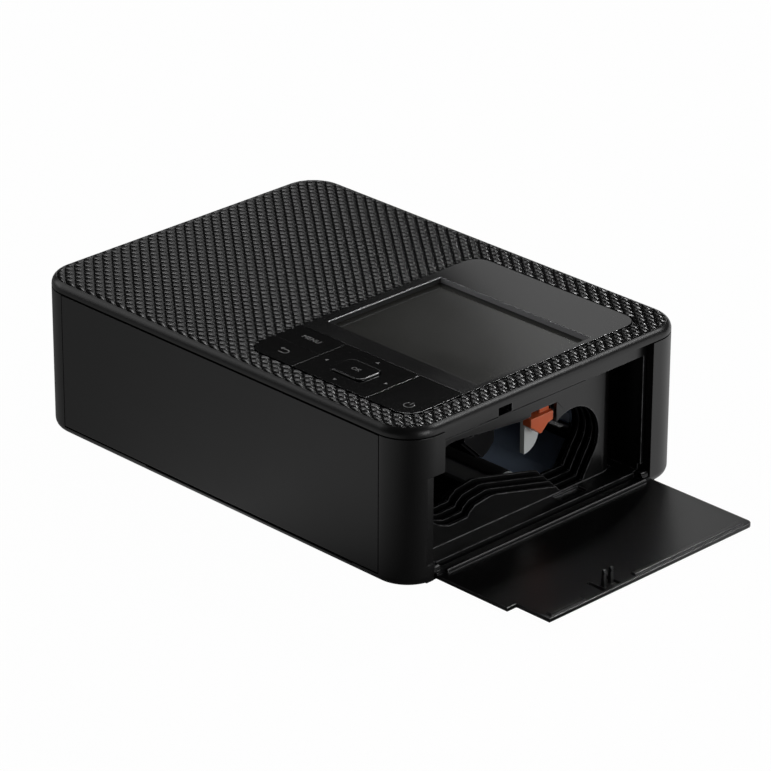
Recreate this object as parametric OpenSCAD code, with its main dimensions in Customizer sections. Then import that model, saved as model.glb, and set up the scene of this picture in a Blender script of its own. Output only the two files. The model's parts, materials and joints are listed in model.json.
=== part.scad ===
// Compact dye-sublimation photo printer, shown with its ribbon door open.
// Millimetres. X runs to the ribbon door side, Y to the back, Z up.
// The origin is the middle of the underside of the case.

/* [Case] */
// Width of the case, side to side
body_w = 182.2; // [180:0.1:196]
// Distance from the front face to the take-up spool's space
front_room = 18.5; // [18:0.1:22]
// Distance from the supply spool's space to the back face
back_room = 30.6; // [30:0.1:36]
// Room between the steel chassis and the display module, for its cables
screen_room = 2.3; // [1.5:0.1:6]
// Radius of the four upright corners
corner_r = 13.35; // [11:0.05:15]
// Radius of the rounded lower edge
base_round = 3.6; // [2:0.1:4]
// Radius of the rounded top edge
top_round = 3.6; // [2:0.1:3.6]
// Wall of the case at the left and the back
wall = 2.2; // [1.8:0.1:2.6]
// Wall of the case round the ribbon door
door_wall = 3; // [2.6:0.1:3.2]
// Thickness of the case floor and of the base plate
floor_t = 2; // [1.8:0.1:2.2]
// Height of the top cover above the seam
cover_h = 4.1; // [4:0.1:5]
// Width of the groove between the case and the top cover
seam_gap = 0.5; // [0.3:0.1:0.8]
// Thickness of the top cover
cover_t = 2.2; // [1.8:0.1:2.4]
// Distance of the case posts from the side faces
post_in_x = 7.6; // [7.4:0.1:8.2]
// Distance of the case posts from the front and back faces
post_in_y = 8; // [7.8:0.1:8.6]
// Radius of the case posts
post_r = 2.5; // [2.3:0.1:2.6]
// Radius of the case screws
case_screw_r = 1.1; // [0.9:0.1:1.2]

/* [Base plate and feet] */
// Distance from the case sides to the opening that the base plate closes
base_inset = 12; // [11:0.5:13]
// Width of the lip round the base plate
base_lip = 4; // [3.6:0.1:4.4]
// Radius of the rubber feet
foot_r = 6; // [4:0.5:7]
// Distance from the base plate's edge to the middle of a foot
foot_in = 10.5; // [9:0.5:16]
// How far the feet stand below the case
foot_drop = 0.6; // [0.4:0.1:1.5]
// How far the feet are let into the base plate
foot_sink = 0.8; // [0.5:0.1:1]
// Radius of the base plate screws
base_screw_r = 1; // [0.8:0.1:1.2]

/* [Ribbon door] */
// How far the door reaches past the take-up spool's space, to the front
door_past_front = 5.5; // [5.3:0.1:6]
// How far the door reaches past the supply spool's space, to the back
door_past_back = 13.5; // [13:0.1:14]
// Thickness of the door
door_t = 1.45; // [1.2:0.05:1.6]
// Height of the hinge line
hinge_z = 4.1; // [4:0.1:4.4]
// Gap round the closed door
door_gap = 0.3; // [0.2:0.05:0.5]
// How far the door reaches past its hinge line, towards the case
door_heel = 1.2; // [0.8:0.1:1.4]
// Radius of the door's hinge pins
door_pin_r = 0.9; // [0.7:0.1:1]
// Running clearance round every pin, shaft and axle
run_fit = 0.05; // [0.03:0.01:0.08]
// Width of the step in the door's corner
notch_w = 4.3; // [3.5:0.1:5]
// Length of the step in the door's corner
notch_len = 14.6; // [12:0.1:17]
// Height of the stiffening bead round the door
bead_h = 0.7; // [0.4:0.1:0.9]
// Height of the bar along the door's hinge side
bar_h = 1.3; // [0.8:0.1:1.6]
// Distance from the door's front edge to the middle of the latch
latch_in = 35; // [30:0.5:40]
// Height of the two latch fins
fin_h = 6; // [4:0.2:6.4]

/* [Ribbon bay] */
// Depth of the rebate that the closed door lies in
rabbet = 3.3; // [3.2:0.1:3.6]
// Depth of the inner plate behind the case side
bay_depth = 11.5; // [11:0.1:13]
// Wall of the bay moulding
bay_wall = 1.5; // [1.2:0.1:1.6]
// Height of the ledge at the bay's foot
ledge_z = 5; // [4.8:0.1:5.2]
// Distance from the case side to the ledge's edge
ledge_in = 4; // [3.9:0.1:4.6]
// Height of the lintel under the seam
lintel = 5.5; // [5:0.1:6.5]
// Distance from the door opening's back edge to the bay mouth
mouth_in = 1.4; // [1.2:0.1:1.8]
// Width of the pocket behind the inner plate's turned end
pocket_w = 4.5; // [4:0.1:5]
// Outer radius of the inner plate's turn
turn_r = 5.5; // [4:0.1:5.8]
// Distance between the two ribbon spools, front to back
spool_gap = 55.9; // [55.4:0.1:57]
// Height of the take-up spool over the ledge
takeup_rise = 20.7; // [20.4:0.1:21]
// Height of the supply spool over the ledge
supply_rise = 16.2; // [16:0.1:16.6]
// Radius of the bay round the take-up spool
takeup_r = 15; // [14:0.1:15.2]
// Radius of the bay round the supply spool
supply_r = 13; // [12:0.1:13.4]
// Thickness of each guide rib in the bay
rib_t = 1.2; // [0.8:0.1:1.6]
// Distance from one guide rib to the next
rib_pitch = 3; // [2.6:0.1:3.1]
// Rise of each guide rib over the one outside it
rib_step = 0.9; // [0.5:0.1:1.2]

/* [Front cover] */
// Width of the front cover
front_w = 155; // [150:0.5:155]
// Thickness of the front cover
front_t = 2.2; // [1.8:0.1:2.4]
// Height of the front cover's lower edge
front_z = 3.3; // [3.2:0.1:3.6]
// Gap round the front cover
front_gap = 0.3; // [0.25:0.05:0.4]
// Radius of the front cover's hinge pins
front_pin_r = 0.9; // [0.7:0.1:1]
// Height of the mouth for the paper cassette
mouth_h = 24; // [20:0.5:26]

/* [Display and keys] */
// Width of the display panel
panel_w = 76.7; // [75:0.1:90]
// Depth of the display panel, front to back
panel_d = 109.6; // [106:0.1:112]
// Distance from the right side face to the panel
panel_in_x = 9.5; // [9.4:0.1:12]
// Distance from the front face to the panel
panel_in_y = 9.9; // [9.6:0.1:12]
// Depth of the row of keys
keys_d = 25.2; // [24:0.1:27]
// Width of the left pair of keys
left_key_w = 22.1; // [20:0.1:24]
// Width of the power key
power_key_w = 20.2; // [18:0.1:22]
// Depth of the back key
back_key_d = 13; // [12:0.1:14]
// Distance from the panel's left edge to the screen
screen_in_left = 4; // [3:0.1:6]
// Distance from the screen to the panel's right edge
screen_in_right = 2.1; // [1.9:0.1:4]
// Distance from the keys to the screen
screen_in_front = 8.5; // [7:0.1:10]
// Depth of the screen, front to back
screen_d = 53.9; // [50:0.1:56]
// Corner radius of the display panel
panel_r = 6.5; // [5:0.1:7]
// Depth of the screen below the panel
screen_sink = 2; // [1.2:0.1:2]
// Gap round each key
key_gap = 0.3; // [0.25:0.05:0.4]
// Thickness of the key tops
key_t = 1.4; // [1.2:0.1:1.6]
// Travel of the keys
key_travel = 0.35; // [0.2:0.05:0.4]
// Width of the round-cornered middle key
ok_w = 15; // [12:0.1:17]
// Depth of the middle key
ok_d = 11; // [9:0.1:12]
// Corner radius of the middle key
ok_r = 2.5; // [1.5:0.1:3]
// Height of the middle key over the keys round it
ok_proud = 0.7; // [0.4:0.1:1]
// Thickness of the key board
board_t = 1.2; // [1:0.1:1.6]
// Thickness of the plate that carries the display and the keys
frame_t = 1.1; // [0.9:0.1:1.3]
// Depth of the display module
module_h = 2.4; // [2:0.1:2.6]

/* [Chassis] */
// Gap between the case's inner front wall and the side plates
chassis_front = 5.1; // [4.5:0.1:7]
// Gap between the side plates and the case's back wall
chassis_back = 7.3; // [6:0.1:10]
// Steel left above the cam shaft's bores
cam_edge = 1; // [1:0.1:2]
// Thickness of the steel side plates
steel_t = 1.2; // [1:0.1:1.4]
// Distance between the outer faces of the side plates
chassis_span = 104.4; // [102:0.1:105]
// Distance from the bay's inner plate to the right side plate
chassis_in = 10.9; // [10.7:0.1:11.5]
// Room for the gears beside the left side plate
gear_room = 5.8; // [5.6:0.1:6.4]
// Face width of the gears
gear_face = 3.6; // [3:0.1:3.8]
// Gear module, pitch diameter per tooth
gear_m = 0.6; // [0.58:0.01:0.6]
// Thinning of each tooth for backlash
gear_slack = 0.08; // [0.06:0.01:0.12]
// Height of the teeth over the pitch circle, in modules
gear_tip = 0.85; // [0.8:0.01:0.86]

/* [Paper path] */
// Distance from the take-up spool to the capstan, front to back
capstan_off = 13; // [12.8:0.1:13.3]
// Depth of the capstan below the take-up spool
capstan_drop = 15.2; // [15:0.1:15.3]
// Distance from the platen to the supply spool, front to back
platen_off = 16.9; // [16.5:0.1:17.3]
// Depth of the platen below the supply spool
platen_drop = 13.9; // [13.6:0.1:14]
// Distance from the exit roller to the back face
exit_in = 16.5; // [15:0.1:18]
// Radius of the capstan
capstan_r = 2.5; // [2.2:0.1:2.6]
// Radius of the pinch roller
pinch_r = 2.4; // [2:0.1:2.4]
// Radius of the steel shafts
shaft_r = 2; // [1.8:0.1:2]
// Radius of the rubber platen
platen_r = 4.2; // [3.8:0.1:4.3]
// Radius of the pick-up tyres
pickup_r = 5.4; // [5:0.1:5.5]
// Width of each pick-up tyre
tyre_w = 14; // [10:0.5:20]
// Radius of the exit roller
exit_r = 3; // [2.6:0.1:3.2]
// Thickness of the paper guides
guide_t = 0.8; // [0.6:0.1:1]
// Gap between still and moving pieces
air = 0.3; // [0.25:0.05:0.3]

/* [Print head] */
// Distance from the supply spool to the head's pivot
head_off = 1.1; // [0.8:0.1:1.4]
// Thickness of the head's top plate
head_top = 1.5; // [1.2:0.1:1.6]
// Radius of the lifting cams at their highest
cam_r = 4; // [3.4:0.1:4.2]
// Width of each lifting cam
cam_w = 5; // [4:0.5:7]

/* [Release lever] */
// Distance from the lever's tip to the supply spool, front to back
lever_off = 19.7; // [19.4:0.1:20]
// Depth of the lever's pivot below the top of the side plates
lever_drop = 6.4; // [6:0.1:6.8]
// Width of the lever's tip
lever_w = 10.7; // [9:0.1:11]
// Distance from the case side to the lever's pivot
lever_in = 33; // [32:0.1:34]
// Radius of the lever's pin
lever_pin_r = 1.1; // [0.8:0.1:1.2]

/* [Motors and electronics] */
// Radius of the feed motor
feed_motor_r = 10; // [8:0.5:11]
// Length of the feed motor
feed_motor_l = 16; // [12:0.5:20]
// Radius of the ribbon motor
ribbon_motor_r = 9; // [7:0.5:9.5]
// Length of the ribbon motor
ribbon_motor_l = 22; // [16:0.5:24]
// Radius of the motor shafts
motor_shaft_r = 1; // [0.8:0.1:1.1]
// Height of the main board
main_z = 8; // [7:0.1:8.4]
// Thickness of the main board
main_t = 1.6; // [1.2:0.1:1.8]
// Radius of the power inlet's opening
inlet_r = 3; // [2.5:0.1:3.2]

/* [Hidden] */
$fn = 48;

// Gears: teeth, and the direction from each gear to the next
pressure = 20;
flank_steps = 3;
mesh_ease = 0.04;
capstan_teeth = 18;
feed_teeth = 12;
idler_a_teeth = 16;
idler_b_teeth = 20;
pickup_teeth = 20;
takeup_teeth = 30;
ribbon_teeth = 12;
cam_idler_teeth = 37;
cam_teeth = 20;
feed_dir = 60;
idler_a_dir = 186;
idler_b_dir = 180;
pickup_dir = 150;
ribbon_dir = 120;
cam_dir = 34;

function pitch_r(teeth) = gear_m * teeth / 2;
function centres(a, b) = pitch_r(a) + pitch_r(b) + mesh_ease;
function at(r, a) = [r * cos(a), r * sin(a)];

// The point at distance r from p, in the direction a
function step_from(p, a, r) = p + at(r, a);

// The case is as deep as its two spools and the room before and behind them
body_d = front_room + takeup_r + spool_gap + supply_r + back_room;
x_right = body_w / 2;
x_left = -x_right;
y_front = -body_d / 2;
y_back = body_d / 2;
takeup = [y_front + front_room + takeup_r, ledge_z + takeup_rise];
supply = [takeup[0] + spool_gap, ledge_z + supply_rise];

// Gear centres and how each gear is turned
capstan = takeup + [capstan_off, -capstan_drop];
feed = step_from(capstan, feed_dir, centres(capstan_teeth, feed_teeth));
idler_a = step_from(capstan, idler_a_dir, centres(capstan_teeth, idler_a_teeth));
idler_b = step_from(idler_a, idler_b_dir, centres(idler_a_teeth, idler_b_teeth));
pickup = step_from(idler_b, pickup_dir, centres(idler_b_teeth, pickup_teeth));
ribbon = step_from(takeup, ribbon_dir, centres(takeup_teeth, ribbon_teeth));
cam_idler = step_from(takeup, cam_dir, centres(takeup_teeth, cam_idler_teeth));
cam = step_from(cam_idler, cam_dir, centres(cam_idler_teeth, cam_teeth));
platen = supply - [platen_off, platen_drop];
exit_c = [y_back - exit_in, platen[1] - 1.8];

// The cam shaft sets the height of the chassis, and so of the case
chassis_h = cam[1] + shaft_r + run_fit + cam_edge;
body_h = chassis_h + screen_room + module_h + frame_t + cover_t;
seam_z = body_h - cover_h;
case_top = seam_z - seam_gap / 2;
cover_z = seam_z + seam_gap / 2;
cover_under = body_h - cover_t;
front_recess = front_t + front_gap + 0.1;
inner_wall = 1.8;
in_left = x_left + wall;
in_right = x_right - door_wall;
in_front = y_front + front_recess + inner_wall;
in_back = y_back - wall;
chassis_y0 = in_front + chassis_front;
chassis_y1 = in_back - chassis_back;
over = 1;

// Colours
case_black = [0.05, 0.05, 0.055];
matte_black = [0.09, 0.09, 0.1];
gloss_black = [0.02, 0.02, 0.025];
glass_black = [0.03, 0.035, 0.04];
steel = [0.62, 0.64, 0.66];
dark_steel = [0.3, 0.31, 0.33];
rubber_black = [0.12, 0.12, 0.12];
nylon_white = [0.86, 0.87, 0.85];
lever_orange = [0.85, 0.3, 0.12];
board_green = [0.08, 0.3, 0.18];
sheet_grey = [0.33, 0.38, 0.44];
brass_tone = [0.72, 0.6, 0.35];

// Bars, sheets and slabs

// A flat outline in Y and Z, pushed along X from x0 to x1
module along_x(x0, x1) {
    translate([x0, 0, 0]) rotate([90, 0, 90]) linear_extrude(x1 - x0) children();
}

// A flat outline in X and Z, pushed along Y from y0 to y1
module along_y(y0, y1) {
    translate([0, y1, 0]) rotate([90, 0, 0]) linear_extrude(y1 - y0) children();
}

// A flat outline in X and Y, pushed up from z0 to z1
module along_z(z0, z1) {
    translate([0, 0, z0]) linear_extrude(z1 - z0) children();
}

// A box given by its lowest and highest corners
module block(low, high) {
    translate(low) cube(high - low);
}

// A round bar along X at the point c in Y and Z
module rod_x(c, r, x0, x1) {
    translate([x0, c[0], c[1]]) rotate([0, 90, 0]) cylinder(r = r, h = x1 - x0);
}

// A round bar along Y at the point c in X and Z
module rod_y(c, r, y0, y1) {
    translate([c[0], y1, c[1]]) rotate([90, 0, 0]) cylinder(r = r, h = y1 - y0);
}

// A rectangle from corner a to corner b
module area(a, b) {
    translate(a) square(b - a);
}

module rounded_rect(w, d, r) {
    square([w - 2 * r, d], center = true);
    square([w, d - 2 * r], center = true);
    for (sx = [-1, 1], sy = [-1, 1]) translate([sx * (w / 2 - r), sy * (d / 2 - r)]) circle(r);
}

// A rounded rectangle from corner a to corner b
module rounded_area(a, b, r) {
    translate((a + b) / 2) rounded_rect(b[0] - a[0], b[1] - a[1], r);
}

// Half a section with its lower outer edge rounded
module edge_profile(reach, h, f) {
    square([reach - f, h]);
    translate([0, f]) square([reach, h - f]);
    intersection() {
        translate([reach - f, f]) circle(f);
        translate([reach - f, 0]) square(f);
    }
}

module edge_section(half, h, f) {
    edge_profile(half, h, f);
    mirror([1, 0]) edge_profile(half, h, f);
}

// A slab with round upright corners and a rounded lower edge
module soft_slab(w, d, r, h, f) {
    for (sx = [-1, 1], sy = [-1, 1])
        translate([sx * (w / 2 - r), sy * (d / 2 - r), 0]) rotate_extrude() edge_profile(r, h, f);
    rotate([90, 0, 90]) linear_extrude(w - 2 * r, center = true) edge_section(d / 2, h, f);
    rotate([90, 0, 0]) linear_extrude(d - 2 * r, center = true) edge_section(w / 2, h, f);
}

// Gears

function involute(a) = tan(a) * 180 / PI - a;
function half_tooth(r, teeth) =
    90 / teeth + involute(pressure) - involute(acos(min(1, pitch_r(teeth) * cos(pressure) / r)))
    - gear_slack / 2 / pitch_r(teeth) * 180 / PI;
// How far a gear is turned so that it meshes with the gear before it
function mesh_turn(a, teeth, turn, next) =
    a + 180 - 180 / next + (a - turn) * teeth / next;

module gear_outline(teeth) {
    base = pitch_r(teeth) * cos(pressure);
    tip = pitch_r(teeth) + gear_tip * gear_m;
    root = pitch_r(teeth) - 1.2 * gear_m;
    low = max(base, root);
    radii = [for (i = [0:flank_steps]) low + (tip - low) * i / flank_steps];
    polygon([
        for (t = [0:teeth - 1]) let (a = t * 360 / teeth) each [
            at(root, a - half_tooth(low, teeth)),
            for (r = radii) at(r, a - half_tooth(r, teeth)),
            for (i = [flank_steps:-1:0]) at(radii[i], a + half_tooth(radii[i], teeth)),
            at(root, a + half_tooth(low, teeth))
        ]
    ]);
}

// A gear along X at the point c, bored for a shaft of radius bore
module gear(c, teeth, turn, x0, x1, bore) {
    along_x(x0, x1) translate(c) difference() {
        rotate(turn) gear_outline(teeth);
        circle(bore);
    }
}

// Steel plates and gear plane, from right to left
flange_x1 = x_right - rabbet;
flange_x0 = flange_x1 - bay_wall;
plate_x1 = x_right - bay_depth;
plate_x0 = plate_x1 - bay_wall;
right_x1 = plate_x0 - chassis_in;
right_x0 = right_x1 - steel_t;
left_x0 = right_x1 - chassis_span;
left_x1 = left_x0 + steel_t;
gears_x1 = left_x0 - (gear_room - gear_face) / 2;
gears_x0 = gears_x1 - gear_face;
gear_plate_x1 = left_x0 - gear_room;
gear_plate_x0 = gear_plate_x1 - steel_t;
fit = 0.02;

feed_turn = mesh_turn(feed_dir, capstan_teeth, 0, feed_teeth);
idler_a_turn = mesh_turn(idler_a_dir, capstan_teeth, 0, idler_a_teeth);
idler_b_turn = mesh_turn(idler_b_dir, idler_a_teeth, idler_a_turn, idler_b_teeth);
pickup_turn = mesh_turn(pickup_dir, idler_b_teeth, idler_b_turn, pickup_teeth);
ribbon_turn = mesh_turn(ribbon_dir, takeup_teeth, 0, ribbon_teeth);
cam_idler_turn = mesh_turn(cam_dir, takeup_teeth, 0, cam_idler_teeth);
cam_turn = mesh_turn(cam_dir, cam_idler_teeth, cam_idler_turn, cam_teeth);

// Door levels and ends
door_y0 = takeup[0] - takeup_r - door_past_front;
door_y1 = supply[0] + supply_r + door_past_back;
latch_y = door_y0 + latch_in;
opening_y0 = door_y0 - door_gap;
opening_y1 = door_y1 + door_gap;
door_under = hinge_z - 2.15;
door_top = door_under + door_t;
hinge_x = x_right - (hinge_z - door_under) - 0.05;
door_reach = seam_z - door_gap - hinge_z;
door_tip = hinge_x + door_reach;
knuckle_r = 1.75;
knuckle_w = 3;
scoop_w = 3;
scoop_depth = 0.8;
tab_z = hinge_z + door_reach - notch_len + door_gap;

// Main board
main_x0 = x_left + post_in_x + post_r + 0.5;
main_x1 = gear_plate_x0 - 1.5;
main_y0 = 10;
main_y1 = in_back - 1;
stand_x = [main_x0 + 5.6, main_x1 - 4];
stand_y = [main_y0 + 4, main_y1 - 13];

// Case

module base_outline(inset) {
    rounded_rect(body_w - 2 * inset, body_d - 2 * inset, 8);
}

lip_t = floor_t / 2;
foot_x = x_right - base_inset - foot_in;
foot_y = y_back - base_inset - foot_in;

module at_posts() {
    for (sx = [-1, 1], sy = [-1, 1])
        translate([sx * (x_right - post_in_x), sy * (y_back - post_in_y), 0]) children();
}

base_screw_x = x_right - 20;
base_screw_y = y_back - base_inset + base_lip / 2 + 0.1;

module at_base_screws() {
    for (sx = [-1, 1], sy = [-1, 1])
        translate([sx * base_screw_x, sy * base_screw_y, 0]) children();
}

post_top = seam_z - 3.5;
boss_h = 3;
head_r = 2.1;
head_h = 1.2;
paper_x0 = left_x1 + 0.5;
paper_x1 = right_x0 - 0.5;
front_pivot = [y_front + front_t, front_z + front_t];
front_swing = 1.33 * front_t + air;
hinge_boss = 3.1;
vent_pitch = 5;
vent_w = 2;
slot_z0 = exit_c[1] + 1;
slot_z1 = exit_c[1] + 7.5;
inlet_x = main_x0 + 8.5;
inlet_z = main_z + main_t + 5.5;
usb_x = main_x1 - 9.3;
card_y = main_y0 + 14;
card_w = 24;
card_h = 2.6;

module housing_shell() {
    difference() {
        soft_slab(body_w, body_d, corner_r, case_top, base_round);
        along_z(floor_t, body_h)
            rounded_area([in_left, in_front], [in_right, in_back], corner_r - wall);
        along_z(-over, body_h) base_outline(base_inset);
        along_z(-over, lip_t) base_outline(base_inset - base_lip);
        // Room for the swinging door, and the door opening itself
        along_x(hinge_x - 2.9, x_right + over) polygon([
            [opening_y0, door_under - 0.65], [opening_y1, door_under - 0.65],
            [opening_y1, body_h], [door_y0 + notch_w - door_gap, body_h],
            [door_y0 + notch_w - door_gap, tab_z], [opening_y0, tab_z]
        ]);
        // Pocket for the end of the bay's flange
        block([flange_x0 - 0.2, opening_y0 - 2.8, ledge_z + 2.3],
            [flange_x1 + 0.15, bay_back + 3.4, body_h]);
        // Finger scoop beside the door
        block([x_right - scoop_depth, opening_y0 - scoop_w, ledge_z + 2.5],
            [x_right + over, opening_y0 + over, tab_z]);
        // Recess of the front cover, with room for its swinging lower edge
        block([-front_w / 2 - front_gap, y_front - over, front_z - front_gap],
            [front_w / 2 + front_gap, y_front + front_recess, body_h]);
        rod_x(front_pivot, front_swing, -front_w / 2 - front_gap, front_w / 2 + front_gap);
        // Mouth of the paper cassette
        block([paper_x0, y_front - over, floor_t + 0.6], [paper_x1, in_front + over, floor_t + mouth_h]);
        // Paper slot at the back
        block([paper_x0, in_back - over, slot_z0], [paper_x1, y_back + over, slot_z1]);
        // Vents at the back
        for (i = [0:6])
            block([in_left + 13 + i * vent_pitch, in_back - over, case_top - 27],
                [in_left + 13 + i * vent_pitch + vent_w, y_back + over, case_top - 11]);
        // Power inlet, data port and card slot
        block([inlet_x - 4.8, in_back - over, main_z + main_t + 0.2],
            [inlet_x + 4.8, y_back + over, main_z + main_t + 11.2]);
        block([usb_x - 4.8, in_back - over, main_z + main_t - 0.3],
            [usb_x + 4.8, y_back + over, main_z + main_t + 3.7]);
        block([x_left - over, card_y - card_w / 2 - 0.5, main_z + main_t - 0.3],
            [in_left + over, card_y + card_w / 2 + 0.5, main_z + main_t + card_h + 0.3]);
    }
}

module housing() {
    color(case_black) difference() {
        union() {
            housing_shell();
            // Posts for the case screws, joined to the walls
            at_posts() along_z(floor_t - 0.1, post_top) circle(post_r);
            for (sx = [-1, 1], sy = [-1, 1])
                translate([sx * (x_right - post_in_x / 2 - 1), sy * (y_back - post_in_y), 0])
                    along_z(floor_t, post_top) square([post_in_x - 2.4, 1.2], center = true);
            at_base_screws() along_z(lip_t, floor_t + boss_h) circle(2 * base_screw_r);
            // Bosses for the door's hinge pins
            for (y = [opening_y0 - hinge_boss, opening_y1])
                block([hinge_x - 2.4, y, lip_t], [x_right - scoop_depth, y + hinge_boss, ledge_z + 2]);
        }
        at_posts() along_z(-over, body_h) circle(case_screw_r + 0.1);
        at_posts() along_z(-over, head_h) circle(head_r + 0.15);
        at_base_screws() along_z(-over, floor_t + boss_h - 0.8) circle(base_screw_r);
        rod_y([hinge_x, hinge_z], door_pin_r + run_fit, opening_y0 - 2.4, opening_y1 + 2.4);
        rod_x(front_pivot, front_pin_r + run_fit, -front_w / 2 - 2.4, front_w / 2 + 2.4);
    }
}

module base_plate() {
    stand_z = main_z - floor_t;
    color(case_black) difference() {
        union() {
            along_z(0, floor_t) base_outline(base_inset + 0.15);
            along_z(0, lip_t) base_outline(base_inset - base_lip + 0.15);
            // Stands for the main board
            for (x = stand_x, y = stand_y)
                translate([x, y, floor_t - 0.1]) cylinder(r = 2.5, h = stand_z + 0.1);
            // Feet of the steel plates
            for (x = [right_x1, left_x0 - 2], y = [chassis_y0 + 3.5, chassis_y1 - 17])
                block([x, y, floor_t - 0.1], [x + 2, y + 5.5, floor_t + 4]);
        }
        for (sx = [-1, 1], sy = [-1, 1])
            translate([sx * foot_x, sy * foot_y, -over]) cylinder(r = foot_r + 0.1, h = foot_sink + over);
        at_base_screws() along_z(-over, floor_t) circle(base_screw_r + 0.15);
        at_base_screws() along_z(-over, 0.7) circle(1.6 * base_screw_r + 0.1);
        for (i = [0:8])
            block([left_x1 - 34 + i * vent_pitch, takeup[0] + 3, -over],
                [left_x1 - 34 + i * vent_pitch + vent_w, takeup[0] + 27, floor_t + over]);
    }
}

module feet() {
    color(rubber_black) for (sx = [-1, 1], sy = [-1, 1])
        translate([sx * foot_x, sy * foot_y, -foot_drop])
            rotate_extrude() difference() {
                square([foot_r, foot_drop + foot_sink]);
                polygon([[foot_r + over, -over], [foot_r - 0.5, -over], [foot_r - 0.5, 0],
                    [foot_r, 0.3], [foot_r + over, 0.3]]);
            }
}

// A screw with its head down at z0
module screw(r, z0, z1, cap_r, cap_h) {
    translate([0, 0, z0]) difference() {
        union() {
            cylinder(r = cap_r, h = cap_h);
            cylinder(r = r, h = z1 - z0);
        }
        for (a = [0, 90]) rotate(a) block([-cap_r * 0.6, -0.25, -over], [cap_r * 0.6, 0.25, cap_h / 2]);
    }
}

module case_screws() {
    color(dark_steel) at_posts() screw(case_screw_r, 0.2, cover_under - 1.2, head_r, head_h - 0.2);
}

module base_screws() {
    color(dark_steel) at_base_screws()
        screw(base_screw_r - fit, 0.1, floor_t + boss_h - 1, 1.6 * base_screw_r, 0.6);
}

tongue = 1.4;
tongue_drop = 3;

// A tongue of the top cover, from corner a to corner b
module tongue_bar(a, b) {
    along_z(case_top - tongue_drop, cover_under + 0.1) area(a, b);
}

module top_cover() {
    color(case_black) difference() {
        union() {
            difference() {
                translate([0, 0, body_h]) rotate([180, 0, 0])
                    soft_slab(body_w, body_d, corner_r, body_h - cover_z, top_round);
                along_z(0, cover_under) rounded_area([in_left, y_front + wall],
                    [x_right - wall, in_back], corner_r - wall);
            }
            // Tongues that locate the cover inside the case
            tongue_bar([in_left + air, 26 - y_back], [in_left + air + tongue, y_back - 26]);
            tongue_bar([25 - x_right, in_back - air - tongue], [x_right - 25, in_back - air]);
            tongue_bar([25 - x_right, in_front + air], [panel_x0 - 5, in_front + air + tongue]);
            along_z(post_top, cover_under + 0.1) intersection() {
                at_posts() circle(post_r);
                rounded_area([in_left + air, in_front + air], [in_right - air, in_back - air],
                    corner_r - wall - air);
            }
        }
        along_z(cover_under - over, body_h + over)
            rounded_area([panel_x0, panel_y0], [panel_x1, panel_y1], panel_r);
        at_posts() along_z(0, cover_under - 1) circle(case_screw_r + fit);
    }
}

// Display panel and keys

panel_x1 = x_right - panel_in_x;
panel_x0 = panel_x1 - panel_w;
panel_y0 = y_front + panel_in_y;
panel_y1 = panel_y0 + panel_d;
keys_y = panel_y0 + keys_d;
keys_x0 = panel_x0 + left_key_w;
keys_x1 = panel_x1 - power_key_w;
keys_split = panel_y0 + back_key_d;
screen_x0 = panel_x0 + screen_in_left;
screen_x1 = panel_x1 - screen_in_right;
screen_y0 = keys_y + screen_in_front;
screen_y1 = screen_y0 + screen_d;
panel_gap = 0.15;
frame_z = cover_under - frame_t;
key_under = body_h - key_t;
module_z = frame_z - module_h;
keys_mid = (keys_x0 + keys_x1) / 2;
keys_low = (panel_y0 + keys_y) / 2;
key_board_z = frame_z - 2.9;
dome_h = 0.8;
stem_z = key_board_z + board_t + dome_h + key_travel + air;
stem_r = 1.6;
menu_c = [(panel_x0 + keys_x0) / 2, (keys_split + keys_y) / 2];
back_c = [(panel_x0 + keys_x0) / 2, (panel_y0 + keys_split) / 2];
power_c = [(keys_x1 + panel_x1) / 2, keys_low];
ok_c = [keys_mid, keys_low];
nav_x = 13;
nav_y = 10.4;
nav_points = [[nav_x, 0], [-nav_x, 0], [0, nav_y], [0, -nav_y]];
gimbal_z = (cover_under + frame_z) / 2;
gimbal_pin_r = 0.35;
gimbal_w = 16;
gimbal_d = 12;

// Everything inside the panel outline, kept off its edge by gap
module panel_outline(gap) {
    rounded_area([panel_x0 + gap, panel_y0 + gap], [panel_x1 - gap, panel_y1 - gap], panel_r - gap);
}

module panel_frame() {
    margin = 2.4;
    color(matte_black) difference() {
        union() {
            along_z(frame_z, cover_under) panel_plate(margin);
            // Pillars down to the key board
            for (x = [panel_x0 + 5, panel_x1 - 5], y = [panel_y0 + 4.5, keys_y - 3])
                translate([x, y, key_board_z + board_t])
                    cylinder(r = 1.2, h = frame_z - key_board_z - board_t + 0.1);
        }
        // Bores for the gimbal's outer pins
        rod_x([ok_c[1], gimbal_z], gimbal_pin_r + run_fit,
            ok_c[0] - gimbal_w / 2 - 2, ok_c[0] + gimbal_w / 2 + 2);
    }
}

module panel_plate(margin) {
    difference() {
        area([panel_x0 - margin, panel_y0 - 0.6], [panel_x1 + margin, panel_y1 + margin]);
        area([screen_x0 - 0.1, screen_y0 - 0.1], [screen_x1 + 0.1, screen_y1 + 0.1]);
        for (c = [menu_c, back_c, power_c]) translate(c) circle(stem_r + 0.4);
        // Opening for the gimbal, and holes for the direction key's stems
        translate(ok_c) square([gimbal_w + 1, gimbal_d + 1], center = true);
        translate(ok_c) square([3, gimbal_d + 4], center = true);
        for (p = nav_points) translate(ok_c + p) circle(stem_r + 0.4);
        // Clear of the two case posts at the right
        for (sy = [-1, 1]) translate([x_right - post_in_x, sy * (y_back - post_in_y)]) circle(post_r + air);
    }
}

module display_window() {
    color(gloss_black) along_z(cover_under, body_h) difference() {
        intersection() {
            panel_outline(panel_gap);
            area([panel_x0, keys_y + key_gap / 2], [panel_x1, panel_y1]);
        }
        area([screen_x0, screen_y0], [screen_x1, screen_y1]);
    }
}

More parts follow.
